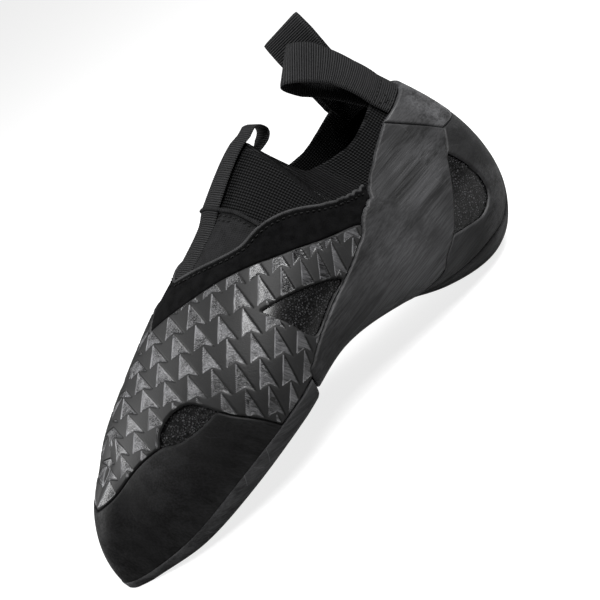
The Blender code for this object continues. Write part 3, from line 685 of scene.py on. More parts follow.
@dataclass
class Tree:
    """A node tree with short calls to add and link nodes."""

    tree: bpy.types.NodeTree

    def fill(self, node: Node, inputs: dict) -> Node:
        """Fills a node's inputs.

        Args:
            node: the node.
            inputs: values or other nodes' outputs, by input.

        Returns:
            The same node.
        """
        for key, value in inputs.items():
            if isinstance(value, Socket):
                self.tree.links.new(value, node.inputs[key])
            else:
                node.inputs[key].default_value = value
        return node

    def add(self, kind: str, inputs: dict | None = None, **settings: object) -> Node:
        """Adds a node and sets it up.

        Args:
            kind: the shader node's type.
            inputs: values or links for its inputs.
            settings: its properties.

        Returns:
            The node.
        """
        node = self.tree.nodes.new("ShaderNode" + kind)
        for name, value in settings.items():
            setattr(node, name, value)
        return self.fill(node, inputs or {})

    def use(self, group: bpy.types.NodeTree, **inputs: object) -> Node:
        """Places a group and fills its inputs."""
        return self.add("Group", inputs, node_tree=group)

    def math(self, operation: str, a: object, b: object = 0.0, clamp: bool = False) -> Socket:
        """A math node's result."""
        return self.add("Math", {0: a, 1: b}, operation=operation, use_clamp=clamp).outputs[0]

    def times(self, a: object, b: object) -> Socket:
        """A product."""
        return self.math("MULTIPLY", a, b)

    def plus(self, a: object, b: object) -> Socket:
        """A sum."""
        return self.math("ADD", a, b)

    def ramp(self, value: object, low: float, high: float, out_low: float = 0.0,
             out_high: float = 1.0) -> Socket:
        """A value mapped smoothly from one range to another.

        Args:
            value: the value.
            low: the first range's start.
            high: the first range's end.
            out_low: the result at its start.
            out_high: the result at its end.

        Returns:
            The result.
        """
        inputs = {"Value": value, "From Min": low, "From Max": high, "To Min": out_low, "To Max": out_high}
        return self.add("MapRange", inputs, interpolation_type="SMOOTHSTEP").outputs[0]

    def blend(self, factor: object, a: object, b: object) -> Socket:
        """Two colours mixed."""
        return self.add("Mix", {0: factor, 6: a, 7: b}, data_type="RGBA").outputs[2]

    def bump(self, height: object, strength: float, distance: float) -> Socket:
        """The directions of a face with this height on it."""
        return self.add("Bump", {"Height": height, "Strength": strength, "Distance": distance}).outputs[0]

    def scaled(self, place: object, by: tuple[float, float, float]) -> Socket:
        """Places stretched along the axes."""
        return self.add("VectorMath", {0: place, 1: by}, operation="MULTIPLY").outputs[0]

    def attribute(self, name: str) -> Socket:
        """A value that is stored on the mesh."""
        return self.add("Attribute", attribute_name=name).outputs["Fac"]


def node_group(name: str, inputs: dict[str, float | str], outputs: Sequence[str],
               fill: Callable[[Tree, Node, Node], None]) -> bpy.types.NodeTree:
    """A shader node group with named sockets.

    Args:
        name: the group's name.
        inputs: socket names with a default value, or "vector".
        outputs: names of value outputs.
        fill: adds the nodes between the group's input and output.

    Returns:
        The group.
    """
    tree = bpy.data.node_groups.new(name, "ShaderNodeTree")
    for label, value in inputs.items():
        kind = "NodeSocketVector" if value == "vector" else "NodeSocketFloat"
        socket = tree.interface.new_socket(name=label, in_out="INPUT", socket_type=kind)
        if kind == "NodeSocketFloat":
            socket.default_value = value
    for label in outputs:
        tree.interface.new_socket(name=label, in_out="OUTPUT", socket_type="NodeSocketFloat")
    source, target = tree.nodes.new("NodeGroupInput"), tree.nodes.new("NodeGroupOutput")
    fill(Tree(tree), source, target)
    return tree


def fill_grain(t: Tree, source: Node, target: Node) -> None:
    """Fine grain of two sizes as a height.

    Args:
        t: the group's tree.
        source: its input node.
        target: its output node.
    """
    place, scale = source.outputs["Place"], source.outputs["Scale"]
    fine = t.add("TexNoise", {"Vector": place, "Scale": scale, "Detail": 3.0, "Roughness": 0.6})
    coarse = t.add("TexNoise", {"Vector": place, "Scale": t.times(scale, 0.13), "Detail": 2.0})
    total = t.plus(t.times(fine.outputs[0], 0.6), t.times(coarse.outputs[0], 0.8))
    t.fill(target, {"Height": t.times(total, source.outputs["Amount"]), "Cloud": coarse.outputs[0]})


def fill_sanding(t: Tree, source: Node, target: Node) -> None:
    """Fine parallel lines from a sanding belt, broken up along their way.

    Args:
        t: the group's tree.
        source: its input node.
        target: its output node.
    """
    place = source.outputs["Place"]
    turned = t.add("VectorRotate", {"Vector": place, "Angle": source.outputs["Turn"]},
                   rotation_type="Y_AXIS").outputs[0]
    fine = t.add("TexNoise", {"Vector": t.scaled(turned, (22.0, 1350.0, 1350.0)), "Scale": 1.0,
                              "Detail": 3.0, "Roughness": 0.65}).outputs[0]
    streaks = t.add("TexNoise", {"Vector": t.scaled(turned, (14.0, 170.0, 170.0)), "Scale": 1.0,
                                 "Detail": 2.0}).outputs[0]
    patchy = t.add("TexNoise", {"Vector": place, "Scale": 34.0, "Detail": 2.0}).outputs[0]
    mask = t.ramp(patchy, 0.35, 0.65, 0.4, 1.0)
    lines = t.times(t.math("SUBTRACT", fine, 0.5), mask)
    mix = t.plus(t.times(t.ramp(fine, 0.36, 0.64), 0.5), t.times(t.ramp(streaks, 0.38, 0.62), 0.5))
    t.fill(target, {"Height": t.times(lines, source.outputs["Amount"]), "Mask": t.times(mix, mask)})


def fill_scuff(t: Tree, source: Node, target: Node) -> None:
    """Thin pale scratches and rubbed places.

    Args:
        t: the group's tree.
        source: its input node.
        target: its output node.
    """
    place = source.outputs["Place"]
    marks = t.add("TexVoronoi", {"Vector": t.scaled(place, (1.0, 1.0, 0.35)),
                                 "Scale": source.outputs["Scale"]}, feature="DISTANCE_TO_EDGE")
    thin = t.ramp(marks.outputs["Distance"], 0.0, 0.014, 1.0, 0.0)
    rare = t.add("TexNoise", {"Vector": place, "Scale": 75.0, "Detail": 4.0})
    some = t.times(thin, t.ramp(rare.outputs[0], 0.57, 0.66))
    t.fill(target, {"Mask": t.math("MULTIPLY", some, source.outputs["Amount"], clamp=True)})


def fill_knit(t: Tree, source: Node, target: Node) -> None:
    """Rows of knitted stitches: ribs with small loops along them.

    Args:
        t: the group's tree.
        source: its input node.
        target: its output node.
    """
    split = t.add("SeparateXYZ", {"Vector": source.outputs["Place"]})
    rib = t.times(split.outputs[0], source.outputs["Ribs"])
    loop = t.times(split.outputs[1], source.outputs["Loops"])
    wave = t.math("ABSOLUTE", t.math("SINE", rib))
    slant = t.plus(loop, t.times(wave, 1.6))
    bead = t.plus(t.times(t.math("SINE", slant), 0.5), 0.5)
    height = t.times(t.plus(t.times(wave, 0.6), t.times(bead, 0.4)), source.outputs["Amount"])
    t.fill(target, {"Height": height, "Mask": bead})


class Effects:
    """The shader effects that several finishes use."""

    def __init__(self) -> None:
        """Builds each group once."""
        self.grain = node_group("fine_grain", {"Place": "vector", "Scale": 900.0, "Amount": 1.0},
                                ("Height", "Cloud"), fill_grain)
        self.sanding = node_group("sanding_lines", {"Place": "vector", "Turn": 0.0, "Amount": 1.0},
                                  ("Height", "Mask"), fill_sanding)
        self.scuff = node_group("scuffs", {"Place": "vector", "Scale": 60.0, "Amount": 1.0},
                                ("Mask",), fill_scuff)
        self.knit = node_group("knit_rows", {"Place": "vector", "Ribs": 3000.0, "Loops": 3000.0,
                                             "Amount": 1.0}, ("Height", "Mask"), fill_knit)


def grey(level: float) -> tuple[float, float, float, float]:
    """A neutral black or grey with a trace of blue."""
    return (min(1.0, level), min(1.0, level), min(1.0, level * 1.04), 1.0)


def new_finish(name: str) -> tuple[bpy.types.Material, Tree, Node]:
    """Starts a material.

    Args:
        name: its name.

    Returns:
        The material, its tree and its shader.
    """
    mat = bpy.data.materials.new(name)
    mat.use_nodes = True
    return mat, Tree(mat.node_tree), mat.node_tree.nodes["Principled BSDF"]


@dataclass(frozen=True)
class RubberFinish:
    """Black rubber, satin, with the fine lines of the sanding belt."""

    name: str
    colour: float
    roughness: float
    turn: float
    lines: float = 1.0
    scuffs: float = 0.5
    gloss: float = 0.25
    edge_lift: float = 0.12

    def build(self, effects: Effects) -> bpy.types.Material:
        """Makes the material.

        Args:
            effects: the shared effects.

        Returns:
            The material.
        """
        mat, t, shader = new_finish(self.name)
        place = t.add("TexCoord").outputs["Object"]
        grain = t.use(effects.grain, Place=place, Scale=1700.0, Amount=0.30)
        sand = t.use(effects.sanding, Place=place, Turn=self.turn, Amount=self.lines)
        scuff = t.use(effects.scuff, Place=place, Scale=75.0, Amount=self.scuffs)
        # Paler colour within 1.6 mm of a piece's edge, by edge_lift, together with the pale scuffs.
        edge = t.ramp(t.attribute("edge"), 0.0, 0.0016, self.edge_lift, 0.0)
        tone = t.blend(sand.outputs["Mask"], grey(self.colour * (1 - 0.7 * self.lines)),
                       grey(self.colour * (1 + 1.2 * self.lines)))
        pale_edges_and_scuffs = t.math("ADD", t.times(edge, 0.6), scuff.outputs["Mask"], clamp=True)
        height = t.plus(grain.outputs["Height"], sand.outputs["Height"])
        t.fill(shader, {
            "Base Color": t.blend(t.times(pale_edges_and_scuffs, 0.5), tone, grey(self.colour * 4.5)),
            "Roughness": t.ramp(sand.outputs["Mask"], 0.0, 1.0, self.roughness + 0.10, self.roughness - 0.06),
            "Normal": t.bump(height, 0.8, 0.00030), "Specular IOR Level": self.gloss})
        return mat


@dataclass(frozen=True)
class ScaleFinish:
    """Moulded rubber: matte raised field, glossy hatched hollows with crisp walls, and painted light and
    shade on them.
    """

    name: str
    colour: float
    painted_highlight: float

    def build(self, effects: Effects) -> bpy.types.Material:
        """Makes the material.

        Args:
            effects: the shared effects.

        Returns:
            The material.
        """
        mat, t, shader = new_finish(self.name)
        place = t.add("TexCoord").outputs["Object"]
        deep = t.attribute("hollow")
        hollow = t.ramp(deep, -0.10, 0.14)
        wall = t.times(t.ramp(deep, -0.30, -0.05), t.ramp(deep, 0.02, 0.22, 1.0, 0.0))
        grain = t.use(effects.grain, Place=place, Scale=1500.0, Amount=0.5)
        hatch = t.use(effects.sanding, Place=place, Turn=-1.05, Amount=5.0)
        scuff = t.use(effects.scuff, Place=place, Scale=95.0, Amount=0.6)
        tone = t.blend(grain.outputs["Cloud"], grey(self.colour * 0.7), grey(self.colour * 1.4))
        tone = t.blend(t.times(scuff.outputs["Mask"], 0.5), tone, grey(self.colour * 4.0))
        # The hollows' floors carry a painted highlight: many times lighter than the raised field, lightest
        # along the hatch lines.
        floor = t.blend(hatch.outputs["Mask"], grey(self.painted_highlight * 0.08), grey(self.painted_highlight * 3.4))
        tone = t.blend(hollow, tone, floor)
        # Painted shade on the hollows' walls.
        tone = t.blend(t.times(wall, 0.5), tone, grey(self.colour * 0.12))
        # A painted shadow line along each arrowhead's right edge, which is also made rougher.
        dark = t.ramp(t.attribute("right_edge"), 0.20, 0.60, 1.0, 0.0)
        # A painted highlight line along each arrowhead's left edge, broken up by the grain's cloud.
        broken = t.ramp(grain.outputs["Cloud"], 0.35, 0.6, 0.35, 1.0)
        painted_edge_highlight = t.times(t.ramp(t.attribute("left_edge"), 0.12, 0.40, 1.0, 0.0), broken)
        tone = t.blend(t.times(dark, 0.9), tone, grey(self.colour * 0.05))
        tone = t.blend(t.times(painted_edge_highlight, 0.85), tone, grey(0.20))
        height = t.plus(t.times(grain.outputs["Height"], 0.6),
                        t.times(hatch.outputs["Height"], t.ramp(hollow, 0.0, 1.0, 0.12, 1.0)))
        height = t.math("SUBTRACT", height, t.times(hollow, 1.1))
        matte = t.ramp(hollow, 0.0, 1.0, 0.58, 0.24)
        t.fill(shader, {
            "Base Color": tone, "Roughness": t.math("MAXIMUM", matte, t.times(dark, 0.8)),
            "Normal": t.bump(height, 0.8, 0.00022), "Coat Weight": t.times(hollow, 0.25),
            "Coat Roughness": 0.2, "Specular IOR Level": 0.30})
        return mat


@dataclass(frozen=True)
class UpperFinish:
    """Ribbed knit on the sock, glossy wrinkled leather where the rubber leaves windows."""

    name: str
    colour: float
    hide: float

    def build(self, effects: Effects) -> bpy.types.Material:
        """Makes the material.

        Args:
            effects: the shared effects.

        Returns:
            The material.
        """
        mat, t, shader = new_finish(self.name)
        place = t.add("TexCoord").outputs["Object"]
        flat = t.add("UVMap", uv_map="UVMap").outputs[0]
        leather = t.attribute("leather")
        knit = t.use(effects.knit, Place=flat, Ribs=2450.0, Loops=5000.0, Amount=1.0)
        fuzz = t.use(effects.grain, Place=place, Scale=2600.0, Amount=0.5)
        folds = t.add("TexNoise", {"Vector": t.scaled(place, (260.0, 260.0, 640.0)), "Scale": 1.0,
                                   "Detail": 5.0, "Roughness": 0.62, "Distortion": 1.4}).outputs[0]
        pores = t.add("TexVoronoi", {"Vector": place, "Scale": 900.0}, feature="DISTANCE_TO_EDGE")
        # The knit's colour follows its height: painted shade in the grooves between ribs and loops, painted
        # highlight on their crests.
        cloth = t.blend(t.ramp(knit.outputs["Height"], 0.35, 0.95), grey(self.colour * 0.05),
                        grey(self.colour * 2.6))
        # The leather's colour is a painted highlight: bright on the fold ridges and pebble tops, near black
        # between them.
        pebble = t.ramp(pores.outputs["Distance"], 0.04, 0.34)
        painted_highlight = t.times(pebble, t.ramp(folds, 0.36, 0.66, 0.08, 1.0))
        skin = t.blend(painted_highlight, grey(self.hide * 0.03), grey(self.hide * 6.0))
        hide = t.plus(t.times(pebble, 0.5), t.times(folds, 7.0))
        soft = t.plus(knit.outputs["Height"], t.times(fuzz.outputs["Height"], 0.5))
        height = t.add("Mix", {0: leather, 2: soft, 3: hide}).outputs[0]
        t.fill(shader, {
            "Base Color": t.blend(leather, cloth, skin), "Roughness": t.ramp(leather, 0.2, 0.8, 0.93, 0.24),
            "Normal": t.bump(height, 1.0, 0.0005), "Specular IOR Level": 0.06,
            "Coat Weight": t.times(leather, 0.6), "Coat Roughness": 0.25})
        return mat


@dataclass(frozen=True)
class ClothFinish:
    """Suede, woven elastic, thread or board: a dark cloth with nap or weave."""

    name: str
    colour: float
    roughness: float
    weave: float = 0.0
    nap: float = 1.0
    gloss: float = 0.12
    sheen: float = 0.02

    def build(self, effects: Effects) -> bpy.types.Material:
        """Makes the material.

        Args:
            effects: the shared effects.

        Returns:
            The material.
        """
        mat, t, shader = new_finish(self.name)
        place = t.add("TexCoord").outputs["Object"]
        flat = t.add("UVMap", uv_map="UVMap").outputs[0]
        grain = t.use(effects.grain, Place=place, Scale=1900.0, Amount=self.nap)
        rows = t.use(effects.knit, Place=flat, Ribs=3600.0, Loops=5400.0, Amount=self.weave)
        tone = t.blend(t.ramp(grain.outputs["Height"], 0.3 * self.nap, 0.95 * self.nap),
                       grey(self.colour * 0.45), grey(self.colour * 1.8))
        height = t.plus(grain.outputs["Height"], rows.outputs["Height"])
        # Where there is a weave, its raised rows get a painted highlight in the colour.
        t.fill(shader, {
            "Base Color": t.blend(t.times(rows.outputs["Height"], 0.6), tone, grey(self.colour * 2.2)),
            "Roughness": self.roughness, "Normal": t.bump(height, 0.7, 0.00025),
            "Sheen Weight": self.sheen, "Sheen Roughness": 0.5, "Specular IOR Level": self.gloss})
        return mat


@dataclass(frozen=True)
class WebbingFinish:
    """Ribbed webbing: ribs across the band, fine yarn in them."""

    name: str
    colour: float

    def build(self, effects: Effects) -> bpy.types.Material:
        """Makes the material.

        Args:
            effects: the shared effects.

        Returns:
            The material.
        """
        mat, t, shader = new_finish(self.name)
        flat = t.add("UVMap", uv_map="UVMap").outputs[0]
        rib = t.attribute("rib")
        yarn = t.use(effects.knit, Place=flat, Ribs=5400.0, Loops=9800.0, Amount=0.6)
        grain = t.use(effects.grain, Place=flat, Scale=2500.0, Amount=0.5)
        # The colour follows the ribs: painted shade in the valleys between them, painted highlight on their
        # crests.
        tone = t.blend(t.ramp(rib, 0.25, 0.95), grey(self.colour * 0.05), grey(self.colour * 1.9))
        height = t.plus(t.plus(grain.outputs["Height"], yarn.outputs["Height"]), t.times(rib, 1.2))
        t.fill(shader, {
            "Base Color": t.blend(t.times(yarn.outputs["Mask"], 0.35), tone, grey(self.colour * 0.4)),
            "Roughness": 0.62, "Normal": t.bump(height, 0.7, 0.00025),
            "Sheen Weight": 0.01, "Sheen Roughness": 0.4, "Specular IOR Level": 0.08})
        return mat


def dress(piece: bpy.types.Object, material: bpy.types.Material,
          nodes: Sequence[str] = ()) -> None:
    """Gives a piece its finish and its place on the body.

    Args:
        piece: the finished piece.
        material: its material.
        nodes: the CAD nodes that it stands for.
    """
    piece.data.materials.clear()
    piece.data.materials.append(material)
    if nodes:
        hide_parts(*nodes)
    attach(piece, "root")
    LOG.info("%s: %d faces", piece.name, len(piece.data.polygons))


@dataclass
class Upper:
    """The knit and leather sock with its wall, open at the collar and underneath."""

    last: Last
    wall: float = 0.0020
    rows: int = 230
    climb: int = 64
    parts: tuple[float, float] = (0.62, 0.38)
    tuck: float = -0.30
    fold: tuple[float, float] = (0.30, 0.86)
    soft_reach: float = 0.0045

    def build(self, material: bpy.types.Material) -> None:
        """Makes the sock as one closed skin, rolled over at the collar.

        Args:
            material: its finish.
        """
        throat = self.last.throat
        front, back = (int(self.rows * part) for part in self.parts)
        shares = np.r_[np.linspace(0, throat, front),
                       throat + (1 - throat) * np.linspace(0, 1, back + 1)[1:] ** 1.25]
        levels = np.r_[np.linspace(self.tuck, 0, 10), np.linspace(0, 1, self.climb)[1:]]
        turn = np.linspace(0, math.pi, 9)
        path_t = np.r_[levels, np.ones(7), levels[::-1], levels[:1]]
        path_h = np.r_[np.zeros(len(levels)), -self.wall / 2 * (1 - np.cos(turn[1:-1])),
                       np.full(len(levels), -self.wall), [0.0]]
        path_up = np.r_[np.zeros(len(levels)), self.wall / 2 * np.sin(turn[1:-1]),
                        np.zeros(len(levels) + 1)]
        first_rim = len(levels) - 1
        parts = []
        for side in Side:
            ring = np.repeat(side.ring(shares)[:, None], len(path_t), 1)
            t = np.repeat(path_t[None, :], len(shares), 0)
            t = np.where(t > 0, t * self.last.collar(ring), t)
            base, normal = self.last.place(ring, t), self.last.normal(ring, t)
            tangent = self.last.place(ring, t) - self.last.place(ring, t - 0.004)
            tangent /= np.linalg.norm(tangent, axis=-1, keepdims=True)
            co = base + normal * path_h[None, :, None] + tangent * path_up[None, :, None]
            keep = np.ones((len(shares) - 1, len(path_t) - 1), bool)
            keep[shares[1:] <= throat + 1e-9, first_rim:first_rim + 8] = False
            below = self.last.below_ridge(ring, t)
            uv = np.stack([leaning(base, KNIT_LEAN), below], -1)
            share = np.repeat(shares[:, None], len(path_t), 1)
            leather = self.leather(share, t)
            flip = not Skin.faces_out(co[:, :first_rim], normal[:, :first_rim])
            parts.append(grid_object("sock", co, uv, flip, keep, {"leather": leather}))
        sock = join_up("knit_sock", parts)
        self.soften(sock)
        dress(sock, material, ["upper"])

    def soften(self, sock: bpy.types.Object) -> None:
        """Smooths the fold that runs down from the notch between tongue and collar.

        Args:
            sock: the joined sock.
        """
        co = np.zeros(len(sock.data.vertices) * 3, np.float32)
        sock.data.vertices.foreach_get("co", co)
        levels = np.tile(np.linspace(*self.fold, 30), 2)
        rings = np.repeat([self.last.throat, 2 - self.last.throat], 30)
        near = distance_to(self.last.place(rings, levels), co.reshape(-1, 3)) < self.soft_reach
        clean_selection()
        sock.select_set(True)
        bpy.context.view_layer.objects.active = sock
        sock.data.polygons.foreach_set("select", np.zeros(len(sock.data.polygons), bool))
        sock.data.edges.foreach_set("select", np.zeros(len(sock.data.edges), bool))
        sock.data.vertices.foreach_set("select", near)
        bpy.ops.object.mode_set(mode="EDIT")
        bpy.ops.mesh.vertices_smooth(factor=0.5, repeat=24)
        bpy.ops.object.mode_set(mode="OBJECT")

    @staticmethod
    def leather(share: np.ndarray, t: np.ndarray) -> np.ndarray:
        """Where leather shows instead of knit: below the suede band and behind the sling.

        Args:
            share: the way from toe to heel.
            t: the height there.

        Returns:
            1 for leather and 0 for knit.
        """
        edge = np.interp(share, [p[0] for p in SUEDE_TOP], [p[1] for p in SUEDE_TOP])
        low = (t < edge - 0.02) & (share < 0.712)
        return (low | (share < 0.43) | ((share > 0.69) & (t < 0.5))).astype(float)


@dataclass
class SoleUnit:
    """The half sole under the forefoot and the board in the shoe."""

    last: Last
    sole: float = 0.0045
    lip: float = 0.0020
    gap: float = 0.0003
    swell: float = 0.0004
    end: float = 13 / 30 - 0.0015
    end_round: float = 0.004

    def build_outsole(self, material: bpy.types.Material) -> None:
        """Makes the outsole with its squared, slightly rounded edge.

        Args:
            material: its finish.
        """
        shares = np.linspace(0, self.end, 190)
        levels = np.linspace(-1, 0, 60)
        turn = np.linspace(0, 1, 9)
        path_t = np.r_[levels, np.zeros(8)]
        out = np.r_[np.full(len(levels), 1.0), 1 - turn[1:]]
        parts = []
        for side in Side:
            ring = np.repeat(side.ring(shares)[:, None], len(path_t), 1)
            t = np.repeat(path_t[None, :], len(shares), 0)
            base, normal = self.last.place(ring, t), self.last.normal(ring, t)
            end = np.clip((shares[-1] - shares) / self.end_round, 0, 1)[:, None]
            reach = np.array([self.lip, self.lip, self.sole])[None, None, :]
            depth = self.gap + (reach - self.gap) * out[None, :, None]
            depth = depth + np.where(out < 1, np.sin(np.pi * out) * self.swell, 0.0)[None, :, None]
            depth = depth * (0.25 + 0.75 * np.sqrt(1 - (1 - end[..., None]) ** 2))
            co = base + normal * depth
            co[..., 2] = np.maximum(co[..., 2], 0.0)
            uv = np.stack([base[..., 0], base[..., 1] + co[..., 2]], -1)
            flip = not Skin.faces_out(co[:, :60], normal[:, :60])
            edge = np.repeat(np.where(out < 0.85, 0.003, 0.0012)[None, :], len(shares), 0)
            parts.append(grid_object("outsole", co, uv, flip, None, {"edge": edge}))
        dress(join_up("half_sole", parts), material, ["outsole"])

    def build_board(self, material: bpy.types.Material) -> None:
        """Gives the board in the shoe its cloth.

        Args:
            material: its finish.
        """
        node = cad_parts["insole"]
        node.data.materials.clear()
        node.data.materials.append(material)


ARROW_SHALLOW = 0.00012
ARROW_DEEPENING = 0.00042
ARROW_START = (-78.3, -32.6)
ARROW_ALONG = (5.9, -7.6)
ARROW_DOWN = (-8.3, -8.0)
ARROW_FAN_ALONG = (0.0, 0.31)
ARROW_FAN_CROSS = (-0.42, -0.18)
ARROW_OUTLINE = ((0.0, 0.0), (-0.41, 1.09), (0.03, 0.93), (0.40, 1.15))


def arrow_field(along: np.ndarray, below: np.ndarray) -> tuple[np.ndarray, ...]:
    """The relief of nested arrowheads, which fan out a little over the forefoot.

    Args:
        along: place along the instep in millimetres.
        below: place below the ridge in millimetres, negative.

    Returns:
        How deep inside an arrowhead each place is in millimetres, negative outside, the
        share of the way from its left edge to its right one, and how far away the left
        and the right edge of the nearest arrowheads are.
    """
    start, step, down = (np.array(v) for v in (ARROW_START, ARROW_ALONG, ARROW_DOWN))
    basis = np.stack([step, down], 1)
    inverse = np.linalg.inv(basis)
    place = np.stack([along - start[0], below - start[1]], -1)
    cell = place @ inverse.T
    for _ in range(4):
        i, j = (np.clip(cell[..., k], -ARROW_REACH, ARROW_REACH) for k in (0, 1))
        bent = (i * i)[..., None] * np.array(ARROW_FAN_ALONG) + (i * j)[..., None] * np.array(ARROW_FAN_CROSS)
        cell = (place - bent) @ inverse.T
    corners = [basis @ np.array(c) for c in ARROW_OUTLINE]
    deep = np.full(along.shape, -9.0)
    across = np.zeros(along.shape)
    to_left, to_right = np.full(along.shape, 9.0), np.full(along.shape, 9.0)
    whole = np.floor(cell)
    for di in (-1, 0, 1):
        for dj in (-2, -1, 0):
            local = (cell - whole - np.array([di, dj])) @ basis.T
            x, y = local[..., 0], local[..., 1]
            reach, inside = np.full(x.shape, 99.0), np.zeros(x.shape, bool)
            for edge, (p, q) in enumerate(zip(corners, corners[1:] + corners[:1])):
                ex, ey = q - p
                f = np.clip(((x - p[0]) * ex + (y - p[1]) * ey) / (ex * ex + ey * ey), 0, 1)
                away = np.hypot(x - p[0] - f * ex, y - p[1] - f * ey)
                reach = np.minimum(reach, away)
                if edge == 0:
                    to_left = np.minimum(to_left, away)
                if edge == 3:
                    to_right = np.minimum(to_right, away)
                inside ^= ((q[1] > y) != (p[1] > y)) & (x < ex * (y - p[1]) / (ey if ey else 1e-9) + p[0])
            value = np.where(inside, reach, -reach)
            left = corners[1] / np.linalg.norm(corners[1])
            run = np.abs(x * left[1] - y * left[0]) / 5.0
            across = np.where(value > deep, np.clip(run, 0, 1), across)
            deep = np.maximum(deep, value)
    return deep, across, to_left, to_right


@dataclass
class Rubber:
    """The rubber pieces: toe rand, patterned overlay, sling, heel cups, strip and heel top."""

    last: Last
    thickness: float = 0.00165
    overlay: float = 0.0018

    def toe_rand(self, material: bpy.types.Material) -> None:
        """Makes the cap round the toe with its corner by the strap.

        Args:
            material: its finish.
        """
        heights = line(RAND_TOP)
        shares = np.linspace(0, RAND_TOP[-1][0], 190)
        reach = np.interp(shares, heights[:, 0], heights[:, 1])
        edge = line(STRAP_FRONT)[:-1]
        skin = Skin(self.last, "toe_rand_rubber", self.thickness, edges=[heights, edge])
        patches = []
        for side in Side:
            f = np.linspace(0, 1, 90)
            share = np.repeat(shares[:, None], len(f), 1)
            patches.append(Patch(share, reach[:, None] * f[None, :], side))
            strap = chain(edge, 40)
            low = np.stack([strap[:, 0], np.zeros(len(strap))], -1)
            g = f[None, :, None]
            grid = low[:, None] * (1 - g) + strap[:, None] * g
            patches.append(Patch(grid[..., 0], grid[..., 1], side))
        dress(skin.build(patches), material, ["toe_rand"])

    def scale_overlay(self, material: bpy.types.Material) -> None:
        """Makes the patterned rubber over the toe and forefoot.

        Args:
            material: its finish.
        """
        low_line = joined(line(RAND_TOP, 0, 3), line(TOE_WINDOW), line(STRAP_FRONT), line(SLING_FRONT, 9, 4))
        high_line = line(OVERLAY_TOP)
        shares = np.r_[np.linspace(0, 0.232, 110), np.linspace(0.232, 0.374, 90)[1:],
                       np.linspace(0.374, 0.603, 165)[1:]]
        low = np.interp(shares, low_line[:, 0], low_line[:, 1])
        high = np.interp(shares, high_line[:, 0], high_line[:, 1])
        window = line(OVERLAY_WINDOW + OVERLAY_WINDOW[:1])[:-1]
        skin = Skin(self.last, "scale_overlay_rubber", self.overlay, edges=[low_line, high_line],
                    windows=[window], relief=self.hollow)
        patches = []
        for side in Side:
            f = np.linspace(0, 1, 120)[None, :]
            share = np.repeat(shares[:, None], f.shape[1], 1)
            patches.append(Patch(share, low[:, None] * (1 - f) + high[:, None] * f, side))
        piece = skin.build(patches)
        self.mark_hollows(piece)
        dress(piece, material, ["scale_overlay"])

    @staticmethod
    def hollow(place: dict) -> np.ndarray:
        """The relief in metres: shallow at an arrowhead's left edge and deep at its right one.

        Args:
            place: what is known of each place of the sheet.

        Returns:
            The relief.
        """
        along = leaning(place["base"], PATTERN_LEAN) * 1000
        deep, across, _, _ = arrow_field(along, place["below"] * 1000)
        mask = np.clip(deep / 0.55 + 0.45, 0, 1)
        mask = mask * mask * (3 - 2 * mask) * np.clip((place["edge"] - 0.0004) / 0.0006, 0, 1)
        return -mask * (ARROW_SHALLOW + ARROW_DEEPENING * across)

    @staticmethod
    def mark_hollows(piece: bpy.types.Object) -> None:
        """Stores the way into the arrowheads in millimetres, and the ways to their left and right edges that
        place the painted highlight and shadow lines, for the finish.

        Args:
            piece: the joined overlay.
        """
        mesh = piece.data
        corner = np.zeros(len(mesh.loops), np.int32)
        mesh.loops.foreach_get("vertex_index", corner)
        uv = np.zeros(len(mesh.loops) * 2, np.float32)
        mesh.uv_layers[0].data.foreach_get("uv", uv)
        flat = np.zeros((len(mesh.vertices), 2))
        flat[corner] = uv.reshape(-1, 2)
        edge = np.zeros(len(mesh.vertices), np.float32)
        mesh.attributes["edge"].data.foreach_get("value", edge)
        deep, _, to_left, to_right = arrow_field(flat[:, 0] * 1000, flat[:, 1] * 1000)
        deep = np.minimum(np.clip(deep, -1, 1), np.clip((edge - 0.0007) * 1000, -1, 1))
        border = np.clip((0.0012 - edge) * 4000, 0, 2)
        for name, values in (("hollow", deep), ("left_edge", to_left + border),
                             ("right_edge", to_right + border)):
            layer = mesh.attributes.new(name, "FLOAT", "POINT")
            layer.data.foreach_set("value", values.astype(np.float32))

    def sling(self, material: bpy.types.Material) -> None:
        """Makes the tensioned band from the heel top under the arch.

        Args:
            material: its finish.
        """
        front, rear = line(SLING_FRONT), line(SLING_REAR)
        end = np.array([SLING_REAR[0], SLING_FRONT[0]])
        skin = Skin(self.last, "heel_sling_rubber", self.thickness + 0.0002, edges=[front, rear, end])
        patches = [between((line(SLING_REAR, 0, 5), line(SLING_REAR, 5)),
                           (line(SLING_FRONT, 0, 9), line(SLING_FRONT, 9)), side, (210, 80), 84)
                   for side in Side]
        dress(skin.build(patches), material, ["heel_sling"])

    def cups(self, material: bpy.types.Material) -> None:
        """Makes the rubber on both sides of the heel, each with its window.

        Args:
            material: its finish.
        """
        top = joined(line(SLING_REAR, 5, 0), line(HEEL_TOP_LOW, 0, 2))
        lows, highs = (line(STRIP_EDGE, 1, 2), line(STRIP_EDGE, 2)), (line(SLING_REAR, 7, 5), top)
        low, high = joined(*lows), joined(*highs)
        window = line(HEEL_WINDOW + HEEL_WINDOW[:1])[:-1]
        for side in Side:
            node = "heel_cup_" + side.value
            skin = Skin(self.last, node + "_rubber", self.thickness - 0.0002, windows=[window],
                        edges=[low, high, np.array([STRIP_EDGE[-1], HEEL_TOP_LOW[2]]) + [[0, 0], [0, 1e-4]],
                               np.array([STRIP_EDGE[1], SLING_REAR[7]])])
            patch = between(lows, highs, side, (30, 170), 80)
            dress(skin.build([patch]), material, [node])

